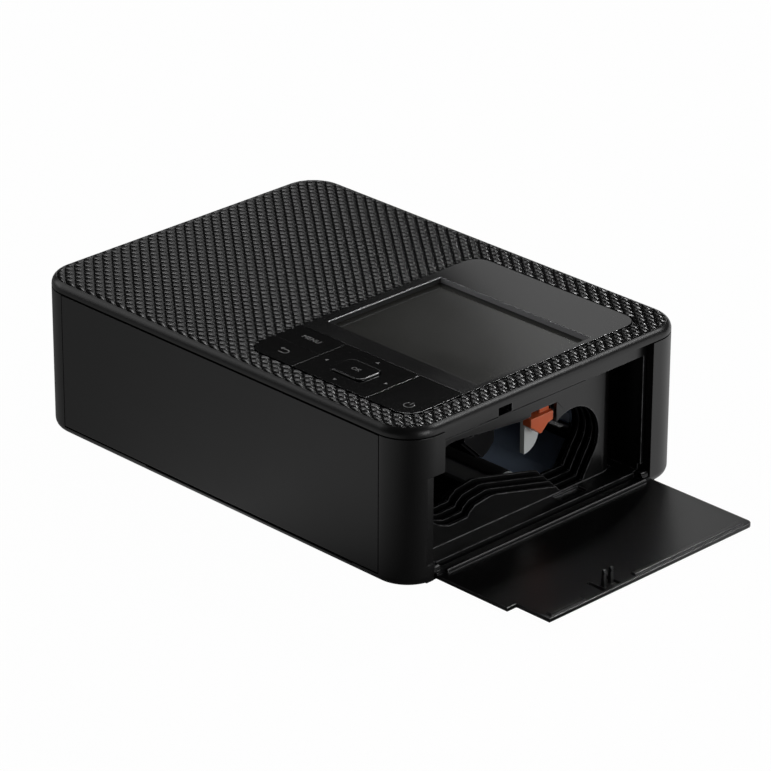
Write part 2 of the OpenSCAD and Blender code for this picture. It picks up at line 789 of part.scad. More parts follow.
module lcd_screen() {
    color(glass_black) {
        block([screen_x0 - 1, screen_y0 - 1, module_z], [screen_x1 + 1, screen_y1 + 1, frame_z]);
        block([screen_x0 + 0.1, screen_y0 + 0.1, frame_z - 0.1],
            [screen_x1 - 0.1, screen_y1 - 0.1, body_h - screen_sink]);
    }
}

// A flat key top between two corners, cut to the panel's rounded outline
module key_top(a, b) {
    half = key_gap / 2;
    along_z(key_under, body_h) intersection() {
        panel_outline(key_gap);
        area([a[0] + half, a[1] + half], [b[0] - half, b[1] - half]);
    }
}

module stem(c) {
    translate([c[0], c[1], stem_z]) cylinder(r = stem_r, h = key_under - stem_z + 0.1);
}

module menu_key() {
    color(gloss_black) {
        key_top([panel_x0 - over, keys_split], [keys_x0, keys_y]);
        stem(menu_c);
    }
}

module back_key() {
    color(gloss_black) {
        key_top([panel_x0 - over, panel_y0 - over], [keys_x0, keys_split]);
        stem(back_c);
    }
}

module power_key() {
    color(gloss_black) {
        key_top([keys_x1, panel_y0 - over], [panel_x1 + over, keys_y]);
        stem(power_c);
    }
}

module nav_key() {
    lug = 1;
    color(gloss_black) difference() {
        union() {
            key_top([keys_x0, panel_y0 - over], [keys_x1, keys_y]);
            for (p = nav_points) stem(ok_c + p);
            // Lugs that hang on the gimbal's inner pins
            for (y = [gimbal_d / 2 + 0.5, -gimbal_d / 2 - 0.5 - lug])
                translate([ok_c[0], ok_c[1] + y, frame_z + 0.1])
                    block([-1.1, 0, 0], [1.1, lug, key_under - frame_z]);
        }
        along_z(key_under - over, body_h + over) translate(ok_c)
            rounded_rect(ok_w + 2 * key_gap, ok_d + 2 * key_gap, ok_r + key_gap);
        rod_y([ok_c[0], gimbal_z], gimbal_pin_r + run_fit,
            ok_c[1] - gimbal_d / 2 - 2, ok_c[1] + gimbal_d / 2 + 2);
    }
}

module nav_gimbal() {
    bar = 2.2;
    color(steel) {
        along_z(gimbal_z - 0.45, gimbal_z + 0.45) translate(ok_c) difference() {
            square([gimbal_w, gimbal_d], center = true);
            square([gimbal_w - 2 * bar, gimbal_d - 2 * bar], center = true);
        }
        for (s = [-1, 1]) {
            translate([s * (gimbal_w / 2 + 0.65), 0, 0])
                rod_x([ok_c[1], gimbal_z], gimbal_pin_r, ok_c[0] - 0.85, ok_c[0] + 0.85);
            translate([0, s * (gimbal_d / 2 + 0.65), 0])
                rod_y([ok_c[0], gimbal_z], gimbal_pin_r, ok_c[1] - 0.85, ok_c[1] + 0.85);
        }
    }
}

module ok_key() {
    color(gloss_black) {
        translate([ok_c[0], ok_c[1], body_h + ok_proud]) rotate([180, 0, 0])
            soft_slab(ok_w, ok_d, ok_r, key_t + ok_proud, 0.5);
        stem(ok_c);
    }
}

module key_board() {
    color(board_green) block([panel_x0 + 1, panel_y0 + 2, key_board_z],
        [panel_x1 - 2, keys_y - 0.5, key_board_z + board_t]);
}

module key_domes() {
    points = concat([menu_c, back_c, power_c, ok_c], [for (p = nav_points) ok_c + p]);
    color(steel) for (c = points) translate([c[0], c[1], key_board_z + board_t])
        cylinder(r1 = 2.2, r2 = 1.2, h = dome_h);
}

// Ribbon door

module door_outline() {
    corner = 2.5;
    difference() {
        area([hinge_x - door_heel, door_y0], [door_tip, door_y1]);
        area([door_tip - notch_len, door_y0 - over], [door_tip + over, door_y0 + notch_w]);
        translate([door_tip - corner, door_y1 - corner]) difference() {
            square(corner + over);
            circle(corner);
        }
        for (y = [door_y0 - over, door_y1 - knuckle_w]) area([hinge_x - 2, y],
            [hinge_x, y + knuckle_w + over]);
    }
}

module ribbon_door() {
    bead_in = 1.2;
    bead_w = 2.2;
    fin_x = hinge_x + bay_top + 1.7 - hinge_z;
    color(matte_black) difference() {
        union() {
            along_z(door_under, door_top) door_outline();
            // Bead inside the free edge, broken round the latch
            for (span = [[door_y0 + notch_w + 2, latch_y - 13], [latch_y + 11, door_y1 - 4]])
                block([door_tip - bead_in - bead_w, span[0], door_top - 0.1],
                    [door_tip - bead_in, span[1], door_top + bead_h]);
            // Bar along the hinge side
            along_y(door_y0 + knuckle_w + 0.6, door_y1 - knuckle_w - 0.6)
                translate([x_right + 0.6, door_top - 0.1]) {
                    square([1.6, bar_h - 0.7]);
                    translate([0.8, bar_h - 0.7]) circle(0.8);
                }
            // Knuckles and pins
            for (y = [door_y0, door_y1 - knuckle_w]) {
                rod_y([hinge_x, hinge_z], knuckle_r, y, y + knuckle_w);
                block([hinge_x, y, door_under], [hinge_x + 3, y + knuckle_w, hinge_z]);
            }
            rod_y([hinge_x, hinge_z], door_pin_r, door_y0 - 2, door_y0 + over);
            rod_y([hinge_x, hinge_z], door_pin_r, door_y1 - over, door_y1 + 2);
            // Latch fins with barbs
            for (y = [latch_y - 2.3, latch_y + 1]) along_y(y, y + 1.3) polygon([
                [fin_x - 0.7, door_top - 0.1], [fin_x + 0.8, door_top - 0.1],
                [fin_x + 0.5, door_top + fin_h - 1.6], [fin_x + 1, door_top + fin_h - 1],
                [fin_x + 0.3, door_top + fin_h], [fin_x - 0.4, door_top + fin_h]
            ]);
        }
        // Slits beside the fins that let them spring
        for (y = [latch_y - 4.2, latch_y + 3])
            block([fin_x - 5, y, door_under + 0.5], [fin_x + 2, y + 1.2, door_top + over]);
    }
}

// Front cover over the paper mouth

module front_cover() {
    edge = 0.6;
    lobe = 1.6;
    color(case_black) {
        difference() {
            along_x(-front_w / 2, front_w / 2)
                translate([y_front, 0]) {
                    area([0, front_z + edge], [front_t, seam_z - seam_gap / 2 - front_gap]);
                    area([edge, front_z], [front_t, front_z + edge]);
                    intersection() {
                        translate([edge, front_z + edge]) circle(edge);
                        area([0, front_z], [edge, front_z + edge]);
                    }
                }
            // Finger cut at the top edge, on the inside
            block([-12, y_front + 1.2, seam_z - 4], [12, y_front + front_t + over, body_h]);
        }
        for (s = [-1, 1]) {
            rod_x(front_pivot, lobe, s > 0 ? front_w / 2 - 3 : -front_w / 2,
                s > 0 ? front_w / 2 : 3 - front_w / 2);
            rod_x(front_pivot, front_pin_r, s > 0 ? front_w / 2 - 1 : -front_w / 2 - 2,
                s > 0 ? front_w / 2 + 2 : 1 - front_w / 2);
        }
    }
}

// Ribbon bay

bay_top = seam_z - lintel;
bay_front = opening_y0 + bay_wall;
bay_back = opening_y1 - mouth_in;
plate_back = bay_back - pocket_w;
lever_y = supply[0] - lever_off;
lever_y1 = lever_y + lever_w;
lever_z = chassis_h - lever_drop;
slot_low = lever_z - 13.2;
slot_high = lever_z - 4.1;

// The cassette's outline between its two spools: points seen from each spool
takeup_side = [[-9.4, -8.7], [-3, -14.9], [5.9, -14.9], [7.7, -11.9], [17, -10.7], [19.5, -11]];
supply_side = [
    [-7.5, -13.6], [-5.3, -15.9], [5.6, -15.9], [6.1, -14.6], [12.5, -4.2], [0, 0],
    [-8, 10.4], [-20.3, 16.4], [-25.7, 16.4]
];
takeup_top = [[17.4, 13.1], [8.1, 14.3], [0, 15]];

// The hole that the ribbon cassette slides through, in Y and Z
module bay_hole() {
    translate(takeup) circle(takeup_r, $fn = 64);
    translate(supply) circle(supply_r, $fn = 64);
    polygon(concat(
        [for (p = takeup_side) takeup + p],
        [for (p = supply_side) supply + p],
        [for (p = takeup_top) takeup + p]
    ));
}

module lever_notch(top) {
    area([lever_y - 0.6, slot_low], [lever_y1 + 1, top]);
}

module bay_frame() {
    mouth_low = ledge_z;
    color(matte_black) difference() {
        union() {
            // Flange behind the door opening
            along_x(flange_x0, flange_x1) difference() {
                area([opening_y0 - 2.6, ledge_z + 2.5], [bay_back + 3.2, case_top - 0.2]);
                area([bay_front, 0], [bay_back, bay_top]);
            }
            // Tunnel from the flange to the inner plate
            along_x(plate_x0, flange_x0 + 0.1) difference() {
                area([opening_y0, ledge_z - bay_wall], [bay_back + bay_wall, bay_top + bay_wall]);
                area([bay_front, ledge_z], [bay_back, bay_top]);
            }
            // Ledge, cut back for the door's knuckles
            block([flange_x0, door_y0 + knuckle_w + 1.2, ledge_z - bay_wall],
                [x_right - ledge_in, door_y1 - knuckle_w - 0.4, ledge_z]);
            block([x_right - ledge_in - bay_wall, door_y0 + knuckle_w + 1.2, floor_t + 0.3],
                [x_right - ledge_in, door_y1 - knuckle_w - 0.4, ledge_z]);
            // Inner plate, turned inwards at its back end
            along_z(ledge_z - bay_wall, bay_top + bay_wall) {
                area([plate_x0, opening_y0], [plate_x1, plate_back - turn_r]);
                area([pocket_x, plate_back - bay_wall], [plate_x1 - turn_r, plate_back]);
                translate([plate_x1 - turn_r, plate_back - turn_r]) intersection() {
                    difference() {
                        circle(turn_r);
                        circle(turn_r - bay_wall);
                    }
                    square(turn_r);
                }
            }
            // Pocket behind the turn
            along_z(ledge_z - bay_wall, bay_top + bay_wall) {
                area([pocket_x, bay_back], [plate_x0 + 0.1, bay_back + bay_wall]);
                area([pocket_x, plate_back - bay_wall], [pocket_x + bay_wall, bay_back + bay_wall]);
            }
            block([pocket_x, plate_back, ledge_z - bay_wall], [plate_x0 + 0.1, bay_back, ledge_z]);
            block([pocket_x, plate_back, bay_top], [plate_x0 + 0.1, bay_back, bay_top + bay_wall]);
        }
        along_x(plate_x0 - over, plate_x1 + over) {
            bay_hole();
            lever_notch(slot_high);
        }
        // Slot for the door latch
        block([flange_x1 - 5, latch_y - 3.1, bay_top + 0.4],
            [flange_x1 + over, latch_y + 3.1, bay_top + 3.4]);
        // Shallow recess in the ledge under the supply spool
        block([plate_x1 + 1, supply[0] - 10, ledge_z - 0.9],
            [x_right - ledge_in - 2, supply[0] + 2, ledge_z + over]);
    }
}

pocket_x = plate_x1 - 10.2;
rib_count = 3;

// The bay hole as the guide ribs narrow it, floor rising by rise
module guided_hole(rise) {
    intersection() {
        bay_hole();
        translate([0, rise]) bay_hole();
    }
}

module cassette_guide() {
    low = ledge_z - bay_wall + 0.1;
    high = bay_top - 1;
    color(matte_black) {
        for (i = [0:rib_count - 1]) let (x1 = plate_x0 - 1.5 - i * rib_pitch)
            along_x(x1 - rib_t, x1) difference() {
                area([opening_y0 + 2, low], [plate_back - turn_r, high]);
                guided_hole((i + 1) * rib_step);
                lever_notch(high + over);
            }
        // Corner bars that carry the ribs on the inner plate
        for (y = [opening_y0 + 2, plate_back - turn_r - 3], z = [low, high - 3])
            block([plate_x0 - 1.5 - (rib_count - 1) * rib_pitch - rib_t, y, z], [plate_x0, y + 3, z + 3]);
        for (y = [lever_y - 0.6 - 2.4, lever_y1 + 1])
            block([plate_x0 - 1.5 - (rib_count - 1) * rib_pitch - rib_t, y, high - 3],
                [plate_x0, y + 2.4, high]);
    }
}

catch_x1 = plate_x0 - 1.5 - rib_pitch + 0.9;
catch_x0 = catch_x1 - 2;

module cassette_catch() {
    tip = 6.8;
    color(nylon_white) {
        // Quarter-round tongue that steadies the cassette's end
        along_x(catch_x0, catch_x1) translate([lever_y + 1.6, supply[1] + 0.2]) {
            area([0, tip], [tip, 8.7]);
            intersection() {
                translate([0, tip]) circle(tip);
                area([0, 0], [tip, tip]);
            }
        }
        // Stem up to the guide ribs
        along_x(catch_x0, catch_x1) area([lever_y + 1.6, supply[1] + 7.8], [lever_y + 4.4, bay_top - 1]);
        block([catch_x0, lever_y - 0.6, bay_top - 4], [catch_x1, lever_y + 1.7, bay_top - 1]);
    }
}

// Release lever

lever_x = x_right - lever_in;
lever_arm_y = lever_y + 5.8;

module release_lever() {
    tip_x1 = plate_x1 - 0.6;
    leg_x1 = plate_x0 - 0.8;
    leg_x0 = leg_x1 - 2.2;
    color(lever_orange) difference() {
        union() {
            // Arm from the pivot to the leg
            block([lever_x, lever_arm_y, lever_z - 0.9], [leg_x1, lever_y1 - 0.4, lever_z + 1.1]);
            rod_y([lever_x, lever_z], lever_pin_r + 1.3, lever_arm_y, lever_y1 - 0.4);
            // Leg down to the tip
            block([leg_x0, lever_arm_y, lever_z - 9.2], [leg_x1, lever_y1 - 0.4, lever_z + 1.1]);
            // Tip with its pointed lower edge
            along_x(leg_x0, tip_x1) translate([lever_y, lever_z - 7]) polygon([
                [0, 0], [0, -3.2], [1.6, -4.2], [4.4, -6.6], [5.4, -6.6], [8.4, -3.8],
                [lever_w, -3.3], [lever_w, 0]
            ]);
        }
        rod_y([lever_x, lever_z], lever_pin_r + run_fit, lever_arm_y - over, lever_y1 + over);
    }
}

module lever_pin() {
    color(steel) rod_y([lever_x, lever_z], lever_pin_r, lever_arm_y - 2.4, lever_y1 + 2);
}

// Chassis

module side_outline() {
    polygon([
        [chassis_y0, floor_t], [chassis_y1, floor_t], [chassis_y1, floor_t + 14],
        [chassis_y1 - 11, chassis_h - 19.6], [supply[0] + 11.1, chassis_h - 5.6],
        [supply[0] - 12.9, chassis_h], [takeup[0] + 21, chassis_h], [takeup[0] - 1, chassis_h - 5.6],
        [takeup[0] - 17, chassis_h - 11.6], [chassis_y0, chassis_h - 13.6]
    ]);
}

pinch = capstan - [0, capstan_r + pinch_r + air];
pinch_shaft_r = 1.2;

// Bores that both side plates share
module shaft_bores() {
    for (c = [capstan, pickup]) translate(c) circle(shaft_r + run_fit);
    translate(exit_c) circle(shaft_r - 0.5 + run_fit);
    translate(pinch) circle(pinch_shaft_r + run_fit);
    translate(platen) circle(bush_r);
    translate(cam) circle(shaft_r + run_fit);
    translate(head_pivot) circle(shaft_r + fit);
}

bush_r = 3.2;

module chassis_right() {
    color(steel) {
        along_x(right_x0, right_x1) difference() {
            side_outline();
            bay_hole();
            lever_notch(lever_z + 2.6);
            shaft_bores();
        }
        // Ears for the release lever's pin
        difference() {
            union() {
                for (y = [lever_arm_y - 1.5, lever_y1])
                    block([lever_x - 2.4, y, lever_z - 2.4], [lever_x + 3, y + 1.2, lever_z + 4.8]);
                block([lever_x - 2.4, lever_arm_y - 1.5, lever_z + 3.6],
                    [right_x0 + 0.1, lever_y1 + 1.2, lever_z + 4.8]);
            }
            rod_y([lever_x, lever_z], lever_pin_r + fit, lever_arm_y - 3, lever_y1 + 2);
        }
    }
}

module chassis_left() {
    color(steel) along_x(left_x0, left_x1) difference() {
        side_outline();
        shaft_bores();
        translate(takeup) circle(hub_shaft_r + run_fit);
        translate(supply) circle(hub_shaft_r + run_fit);
        // Lightening holes
        translate(takeup + [29, -1.7]) circle(6);
        translate(supply + [19.1, -3.2]) circle(4);
    }
}

hub_shaft_r = 2.5;

module gear_plate() {
    color(steel) {
        along_x(gear_plate_x0, gear_plate_x1) difference() {
            polygon([
                [takeup[0] - 21, floor_t], [takeup[0] + 39, floor_t], [takeup[0] + 41, chassis_h],
                [takeup[0] + 3, chassis_h], [takeup[0] - 17, chassis_h - 5.6],
                [takeup[0] - 21, takeup[1] - 1.7]
            ]);
            for (c = [feed, ribbon]) translate(c) circle(motor_shaft_r + 1.4);
            for (c = [idler_a, idler_b, cam_idler]) translate(c) circle(stud_r - fit);
        }
        // Spacers that hold the plate off the left side plate
        for (c = [takeup + [-18, 8.3], [takeup[0] + 30, floor_t + 6], takeup + [38, 10.3]])
            rod_x(c, 1.8, gear_plate_x1 - 0.1, left_x0);
    }
}

stud_r = 1.5;

module gear_studs() {
    color(steel) for (c = [idler_a, idler_b, cam_idler])
        rod_x(c, stud_r - 2 * fit, gear_plate_x0, left_x0);
}

module chassis_beams() {
    front_y = chassis_y0 + 0.6;
    rear_y = chassis_y1 - 13;
    shelf_z = floor_t + 26;
    color(steel) {
        block([left_x1, front_y, floor_t + mouth_h], [right_x0, front_y + steel_t, floor_t + mouth_h + 9]);
        block([left_x1, rear_y, shelf_z - 10], [right_x0, rear_y + steel_t, shelf_z]);
        block([left_x1, supply[0] + supply_r + 1.1, shelf_z - steel_t],
            [right_x0, rear_y + steel_t, shelf_z]);
    }
}

// Rollers and their gears

module capstan_roller() {
    color(steel) {
        rod_x(capstan, shaft_r, gears_x0, right_x1 + 0.6);
        rod_x(capstan, capstan_r, left_x1 + air, right_x0 - air);
    }
}

module capstan_gear() {
    color(nylon_white) gear(capstan, capstan_teeth, 0, gears_x0, gears_x1, shaft_r + fit);
}

module pinch_roller() {
    color(rubber_black) {
        rod_x(pinch, pinch_shaft_r, left_x0 - 0.4, right_x1 + 0.6);
        rod_x(pinch, pinch_r, left_x1 + air, right_x0 - air);
    }
}

platen_core_r = 1.8;

module platen_roller() {
    color(rubber_black) difference() {
        rod_x(platen, platen_r, left_x1 + 1.4, right_x0 - 1.4);
        rod_x(platen, platen_core_r, left_x0, right_x1);
    }
}

module platen_shaft() {
    color(steel) rod_x(platen, platen_core_r - fit, left_x0 - 0.4, right_x1 + 0.6);
}

module platen_bushes() {
    color(nylon_white) for (x = [left_x0, right_x0 - 0.8]) difference() {
        union() {
            rod_x(platen, bush_r - fit, x, x + steel_t + 0.8);
            rod_x(platen, bush_r + 0.8, x == left_x0 ? left_x1 + fit : right_x0 - 0.8,
                x == left_x0 ? left_x1 + 0.8 : right_x0 - fit);
        }
        rod_x(platen, platen_core_r + run_fit, x - over, x + steel_t + 2);
    }
}

module pickup_shaft() {
    color(steel) rod_x(pickup, shaft_r, gears_x0, right_x1 + 0.6);
}

module pickup_tyres() {
    mid = (left_x1 + right_x0) / 2;
    color(rubber_black) for (s = [-1, 1]) difference() {
        rod_x(pickup, pickup_r, mid + s * 22 - tyre_w / 2, mid + s * 22 + tyre_w / 2);
        rod_x(pickup, shaft_r + fit, left_x1, right_x0);
    }
}

module pickup_gear() {
    color(nylon_white) gear(pickup, pickup_teeth, pickup_turn, gears_x0, gears_x1, shaft_r + fit);
}

module idler_gear_a() {
    color(nylon_white) gear(idler_a, idler_a_teeth, idler_a_turn, gears_x0, gears_x1, stud_r + run_fit);
}

module idler_gear_b() {
    color(nylon_white) gear(idler_b, idler_b_teeth, idler_b_turn, gears_x0, gears_x1, stud_r + run_fit);
}

// A motor can with its mounting boss, behind the gear plate
module motor(c, r, l) {
    difference() {
        union() {
            rod_x(c, r, gear_plate_x0 - l, gear_plate_x0);
            rod_x(c, r * 0.35, gear_plate_x0 - l - 1.5, gear_plate_x0 - l + over);
        }
        rod_x(c, motor_shaft_r + run_fit, gear_plate_x0 - l / 2, gear_plate_x0 + over);
    }
}

module feed_motor() {
    color(dark_steel) motor(feed, feed_motor_r, feed_motor_l);
}

module feed_pinion() {
    color(brass_tone) {
        gear(feed, feed_teeth, feed_turn, gears_x0, gears_x1, motor_shaft_r - 0.1);
        rod_x(feed, motor_shaft_r, gear_plate_x0 - feed_motor_l / 2 + air, gears_x1);
    }
}

module ribbon_motor() {
    color(dark_steel) motor(ribbon, ribbon_motor_r, ribbon_motor_l);
}

module ribbon_pinion() {
    color(brass_tone) {
        gear(ribbon, ribbon_teeth, ribbon_turn, gears_x0, gears_x1, motor_shaft_r - 0.1);
        rod_x(ribbon, motor_shaft_r, gear_plate_x0 - ribbon_motor_l / 2 + air, gears_x1);
    }
}

// Splined driver that turns a ribbon spool
module spool_driver(c) {
    rod_x(c, 6, left_x1 + air, left_x1 + air + 1.5);
    rod_x(c, 3.4, left_x1 + air, left_x1 + 10);
    for (a = [0:60:300])
        along_x(left_x1 + air, left_x1 + 8) translate(c) rotate(a) area([2, -0.6], [5, 0.6]);
}

module takeup_hub() {
    color(nylon_white) {
        gear(takeup, takeup_teeth, 0, gears_x0, gears_x1, hub_shaft_r - 0.1);
        rod_x(takeup, hub_shaft_r, gears_x0, left_x1 + over);
        spool_driver(takeup);
    }
}

module supply_hub() {
    color(nylon_white) {
        rod_x(supply, hub_shaft_r, gears_x0, left_x1 + over);
        rod_x(supply, 7, gears_x0, gears_x1);
        spool_driver(supply);
    }
}

module cam_idler_gear() {
    color(nylon_white)
        gear(cam_idler, cam_idler_teeth, cam_idler_turn, gears_x0, gears_x1, stud_r + run_fit);
}

module cam_shaft() {
    nose_r = 1.6;
    color(steel) {
        rod_x(cam, shaft_r, gears_x0, right_x1 + 0.6);
        for (x = [left_x1 + 3, right_x0 - 3 - cam_w]) {
            rod_x(cam, shaft_r + 0.8, x, x + cam_w);
            rod_x(cam + [0, cam_r - nose_r], nose_r, x, x + cam_w);
            along_x(x, x + cam_w) translate(cam) area([-nose_r, 0], [nose_r, cam_r - nose_r]);
        }
    }
}

module cam_gear() {
    color(nylon_white) gear(cam, cam_teeth, cam_turn, gears_x0, gears_x1, shaft_r + fit);
}

// Print head

carrier_x0 = left_x1 + 0.5;
carrier_x1 = right_x0 - 0.5;
carrier_z1 = cam[1] - cam_r - 2 * air;
carrier_z0 = carrier_z1 - head_top;
head_pivot = [supply[0] + head_off, carrier_z0 + 0.55];
nip = platen + [-10.2, 12.1];

module head_carrier() {
    arm_t = 1.2;
    color(dark_steel) difference() {
        union() {
            // Heat sink with the wedge-shaped nose
            along_x(carrier_x0 + 1.5, carrier_x1 - 1.5) difference() {
                polygon([
                    [nip[0] - 8.7, carrier_z0 + 0.1], nip + [-8.7, 8.4], nip, nip + [2.4, 1.2],
                    nip + [5.6, 4.6],
                    [nip[0] + 5.6, carrier_z0 + 0.1]
                ]);
                for (i = [0:2])
                    area([nip[0] - 6.4 + i * 4, nip[1] + 9.6], [nip[0] - 4.4 + i * 4, carrier_z0 - 2.2]);
            }
            // Top plate and the two arms that swing on the pivot shaft
            along_x(carrier_x0, carrier_x1)
                area([nip[0] - 9.4, carrier_z0], [head_pivot[0] - 4, carrier_z1]);
            for (x = [carrier_x0, carrier_x1 - arm_t]) along_x(x, x + arm_t) {
                area([head_pivot[0] - 22, carrier_z0 - 3], [head_pivot[0], carrier_z1]);
                translate(head_pivot) circle(3.6);
            }
        }
        rod_x(head_pivot, shaft_r + run_fit, left_x0, right_x1);
        // Window in the top plate that leaves the heat sink open to the air
        block([carrier_x0 + 8, lever_y + 0.8, 0], [carrier_x1 - 3, lever_y1 + 3.1, body_h]);
    }
}

module print_head() {
    color(nylon_white) along_x(carrier_x0 + 3, carrier_x1 - 3) translate(nip) polygon([
        [-8.2, 7.9], [0, -0.02], [-0.55, -0.6], [-8.75, 7.32]
    ]);
}

module head_pivot_shaft() {
    color(steel) rod_x(head_pivot, shaft_r, left_x0, right_x1);
}

// Paper guides

// A bent sheet of thickness t, its lower face given by points in Y and Z
module bent_sheet(points, t) {
    last = len(points) - 1;
    along_x(paper_x0 - 0.3, paper_x1 + 0.3)
        polygon(concat(points, [for (i = [last:-1:0]) points[i] + [0, t]]));
}

module paper_guides() {
    low = floor_t + 0.8;
    color(sheet_grey) {
        // From the mouth up to the capstan
        bent_sheet([
            [in_front + 0.3, low], [capstan[0] - 26, low], capstan - [14, 4.7], capstan - [5, 3.9]
        ], guide_t);
        // Between the capstan and the platen
        bent_sheet([capstan + [3, -3.3], platen + [-6, 1.9]], guide_t);
        // From the platen down under the supply spool and out at the back
        bent_sheet([
            platen + [5.4, -1.1], [platen[0] + 11, low], [exit_c[0] - 20, low], exit_c + [-5, 1.1]
        ], guide_t);
        bent_sheet([exit_c + [4.5, 1.9], [in_back - 0.3, exit_c[1] + 2.7]], guide_t);
    }
}

module ribbon_shelf() {
    color(sheet_grey)
        bent_sheet([
            takeup + [7.8, -12.6], takeup + [17, -11.4], takeup + [19.5, -11.7], platen + [-5, 3.2]
        ], 0.6);
}

module exit_roller() {
    color(rubber_black) {
        rod_x(exit_c, shaft_r - 0.5, left_x0 - 0.4, right_x1 + 0.6);
        for (i = [0:4]) let (x = left_x1 + 6 + i * 20)
            rod_x(exit_c, exit_r, x, x + 8);
    }
}

// Electronics

module main_board() {
    color(board_green) block([main_x0, main_y0, main_z], [main_x1, main_y1, main_z + main_t]);
}

module board_parts() {
    top = main_z + main_t;
    chip_x = main_x1 - 12.3;
    color(matte_black) {
        block([chip_x, main_y0 + 4, top], [chip_x + 12, main_y0 + 16, top + 1.6]);
        block([chip_x, main_y0 + 22, top], [chip_x + 10, main_y0 + 29, top + 1.2]);
        for (i = [0:2]) translate([main_x0 + 17 + i * 9, main_y0 + 38, top]) cylinder(r = 3, h = 9);
    }
}

module dc_jack() {
    top = main_z + main_t;
    color(matte_black) difference() {
        union() {
            block([inlet_x - 4.5, in_back - 12, top], [inlet_x + 4.5, in_back - 1.2, top + 11]);
            block([inlet_x - 4.5, in_back - 1.3, top + 0.5], [inlet_x + 4.5, y_back - 0.4, top + 10.9]);
        }
        rod_y([inlet_x, inlet_z], inlet_r, in_back - 10, y_back + over);
    }
}

module usb_port() {
    top = main_z + main_t;
    color(steel) difference() {
        block([usb_x - 4.5, in_back - 8, top], [usb_x + 4.5, in_back - 0.2, top + 3.3]);
        block([usb_x - 4, in_back - 7, top + 0.5], [usb_x + 4, in_back + over, top + 2.8]);
    }
}

module card_socket() {
    top = main_z + main_t;
    color(steel) difference() {
        block([in_left + 0.3, card_y - card_w / 2 - 1, top],
            [in_left + 28, card_y + card_w / 2 + 1, top + card_h + 0.6]);
        block([in_left - over, card_y - card_w / 2, top + 0.4],
            [in_left + 26, card_y + card_w / 2, top + card_h]);
    }
}

housing();
base_plate();
feet();
case_screws();
base_screws();
top_cover();
panel_frame();
display_window();
lcd_screen();
menu_key();
back_key();
nav_gimbal();
nav_key();
ok_key();
power_key();
key_board();
key_domes();
ribbon_door();
front_cover();
bay_frame();
cassette_guide();
cassette_catch();
release_lever();
lever_pin();
chassis_right();
chassis_left();
gear_plate();
chassis_beams();
capstan_roller();
capstan_gear();
pinch_roller();
platen_roller();
platen_shaft();
platen_bushes();
pickup_shaft();
pickup_tyres();
pickup_gear();
idler_gear_a();
idler_gear_b();
gear_studs();
feed_motor();
feed_pinion();
ribbon_motor();
ribbon_pinion();
takeup_hub();
supply_hub();
cam_idler_gear();
cam_shaft();
cam_gear();
head_carrier();
print_head();
head_pivot_shaft();
paper_guides();
ribbon_shelf();
exit_roller();
main_board();
board_parts();
dc_jack();
usb_port();
card_socket();
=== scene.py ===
"""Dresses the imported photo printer: woven top, satin shells, glossy panel, printed keys and the parts inside.

Lengths in the classes are in millimetres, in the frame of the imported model. Lamps, the floor and meshes
are in metres.
"""

import json
import logging
import math
from dataclasses import dataclass, field, replace
from enum import Enum
from typing import Callable, Iterable, Sequence, Union

import bpy
import numpy as np
from mathutils import Matrix, Vector

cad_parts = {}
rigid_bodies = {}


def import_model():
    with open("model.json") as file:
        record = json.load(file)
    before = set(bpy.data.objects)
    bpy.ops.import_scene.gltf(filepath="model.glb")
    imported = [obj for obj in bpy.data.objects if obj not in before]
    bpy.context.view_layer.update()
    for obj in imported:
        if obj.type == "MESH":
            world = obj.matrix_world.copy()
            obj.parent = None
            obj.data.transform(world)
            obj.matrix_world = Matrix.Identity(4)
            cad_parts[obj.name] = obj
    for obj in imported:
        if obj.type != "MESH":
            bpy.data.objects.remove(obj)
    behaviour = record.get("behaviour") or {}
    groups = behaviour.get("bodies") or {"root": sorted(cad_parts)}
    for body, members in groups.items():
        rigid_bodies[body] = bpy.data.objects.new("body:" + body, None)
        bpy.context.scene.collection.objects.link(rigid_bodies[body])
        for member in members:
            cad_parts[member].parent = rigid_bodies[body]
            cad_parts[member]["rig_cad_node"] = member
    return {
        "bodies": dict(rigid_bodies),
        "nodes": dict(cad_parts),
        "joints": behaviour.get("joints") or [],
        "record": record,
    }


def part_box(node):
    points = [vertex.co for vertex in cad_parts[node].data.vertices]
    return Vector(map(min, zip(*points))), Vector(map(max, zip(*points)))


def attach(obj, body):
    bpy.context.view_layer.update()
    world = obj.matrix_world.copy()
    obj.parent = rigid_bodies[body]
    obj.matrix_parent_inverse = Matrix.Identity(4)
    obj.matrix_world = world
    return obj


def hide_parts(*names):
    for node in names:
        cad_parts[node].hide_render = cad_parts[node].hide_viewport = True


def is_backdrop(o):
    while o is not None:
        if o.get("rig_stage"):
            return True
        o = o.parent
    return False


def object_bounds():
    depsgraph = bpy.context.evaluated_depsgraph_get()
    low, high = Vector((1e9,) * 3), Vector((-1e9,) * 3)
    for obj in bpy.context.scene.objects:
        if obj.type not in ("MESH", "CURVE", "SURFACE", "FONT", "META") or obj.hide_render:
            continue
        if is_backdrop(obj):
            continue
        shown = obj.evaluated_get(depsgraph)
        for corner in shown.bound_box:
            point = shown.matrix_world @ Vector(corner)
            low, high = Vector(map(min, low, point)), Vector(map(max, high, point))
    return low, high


log = logging.getLogger("printer")
MM = 0.001
WHITE = (1.0, 1.0, 1.0, 1.0)
Point = tuple[float, float, float]
Pair = tuple[float, float]
Box = tuple[Point, Point]
Socket = bpy.types.NodeSocket
Feed = Union[Socket, float, tuple]

# Degrees: edges sharper than the first are bevelled, and faces that turn by less than the second shade as one
BEVEL_ANGLE = 40
SMOOTH_ANGLE = 35

# The height of a capital as a share of the letters' size, and how far apart they stand
CAP_SHARE = 0.72
LETTER_SPACE = 1.05


# Shop tools


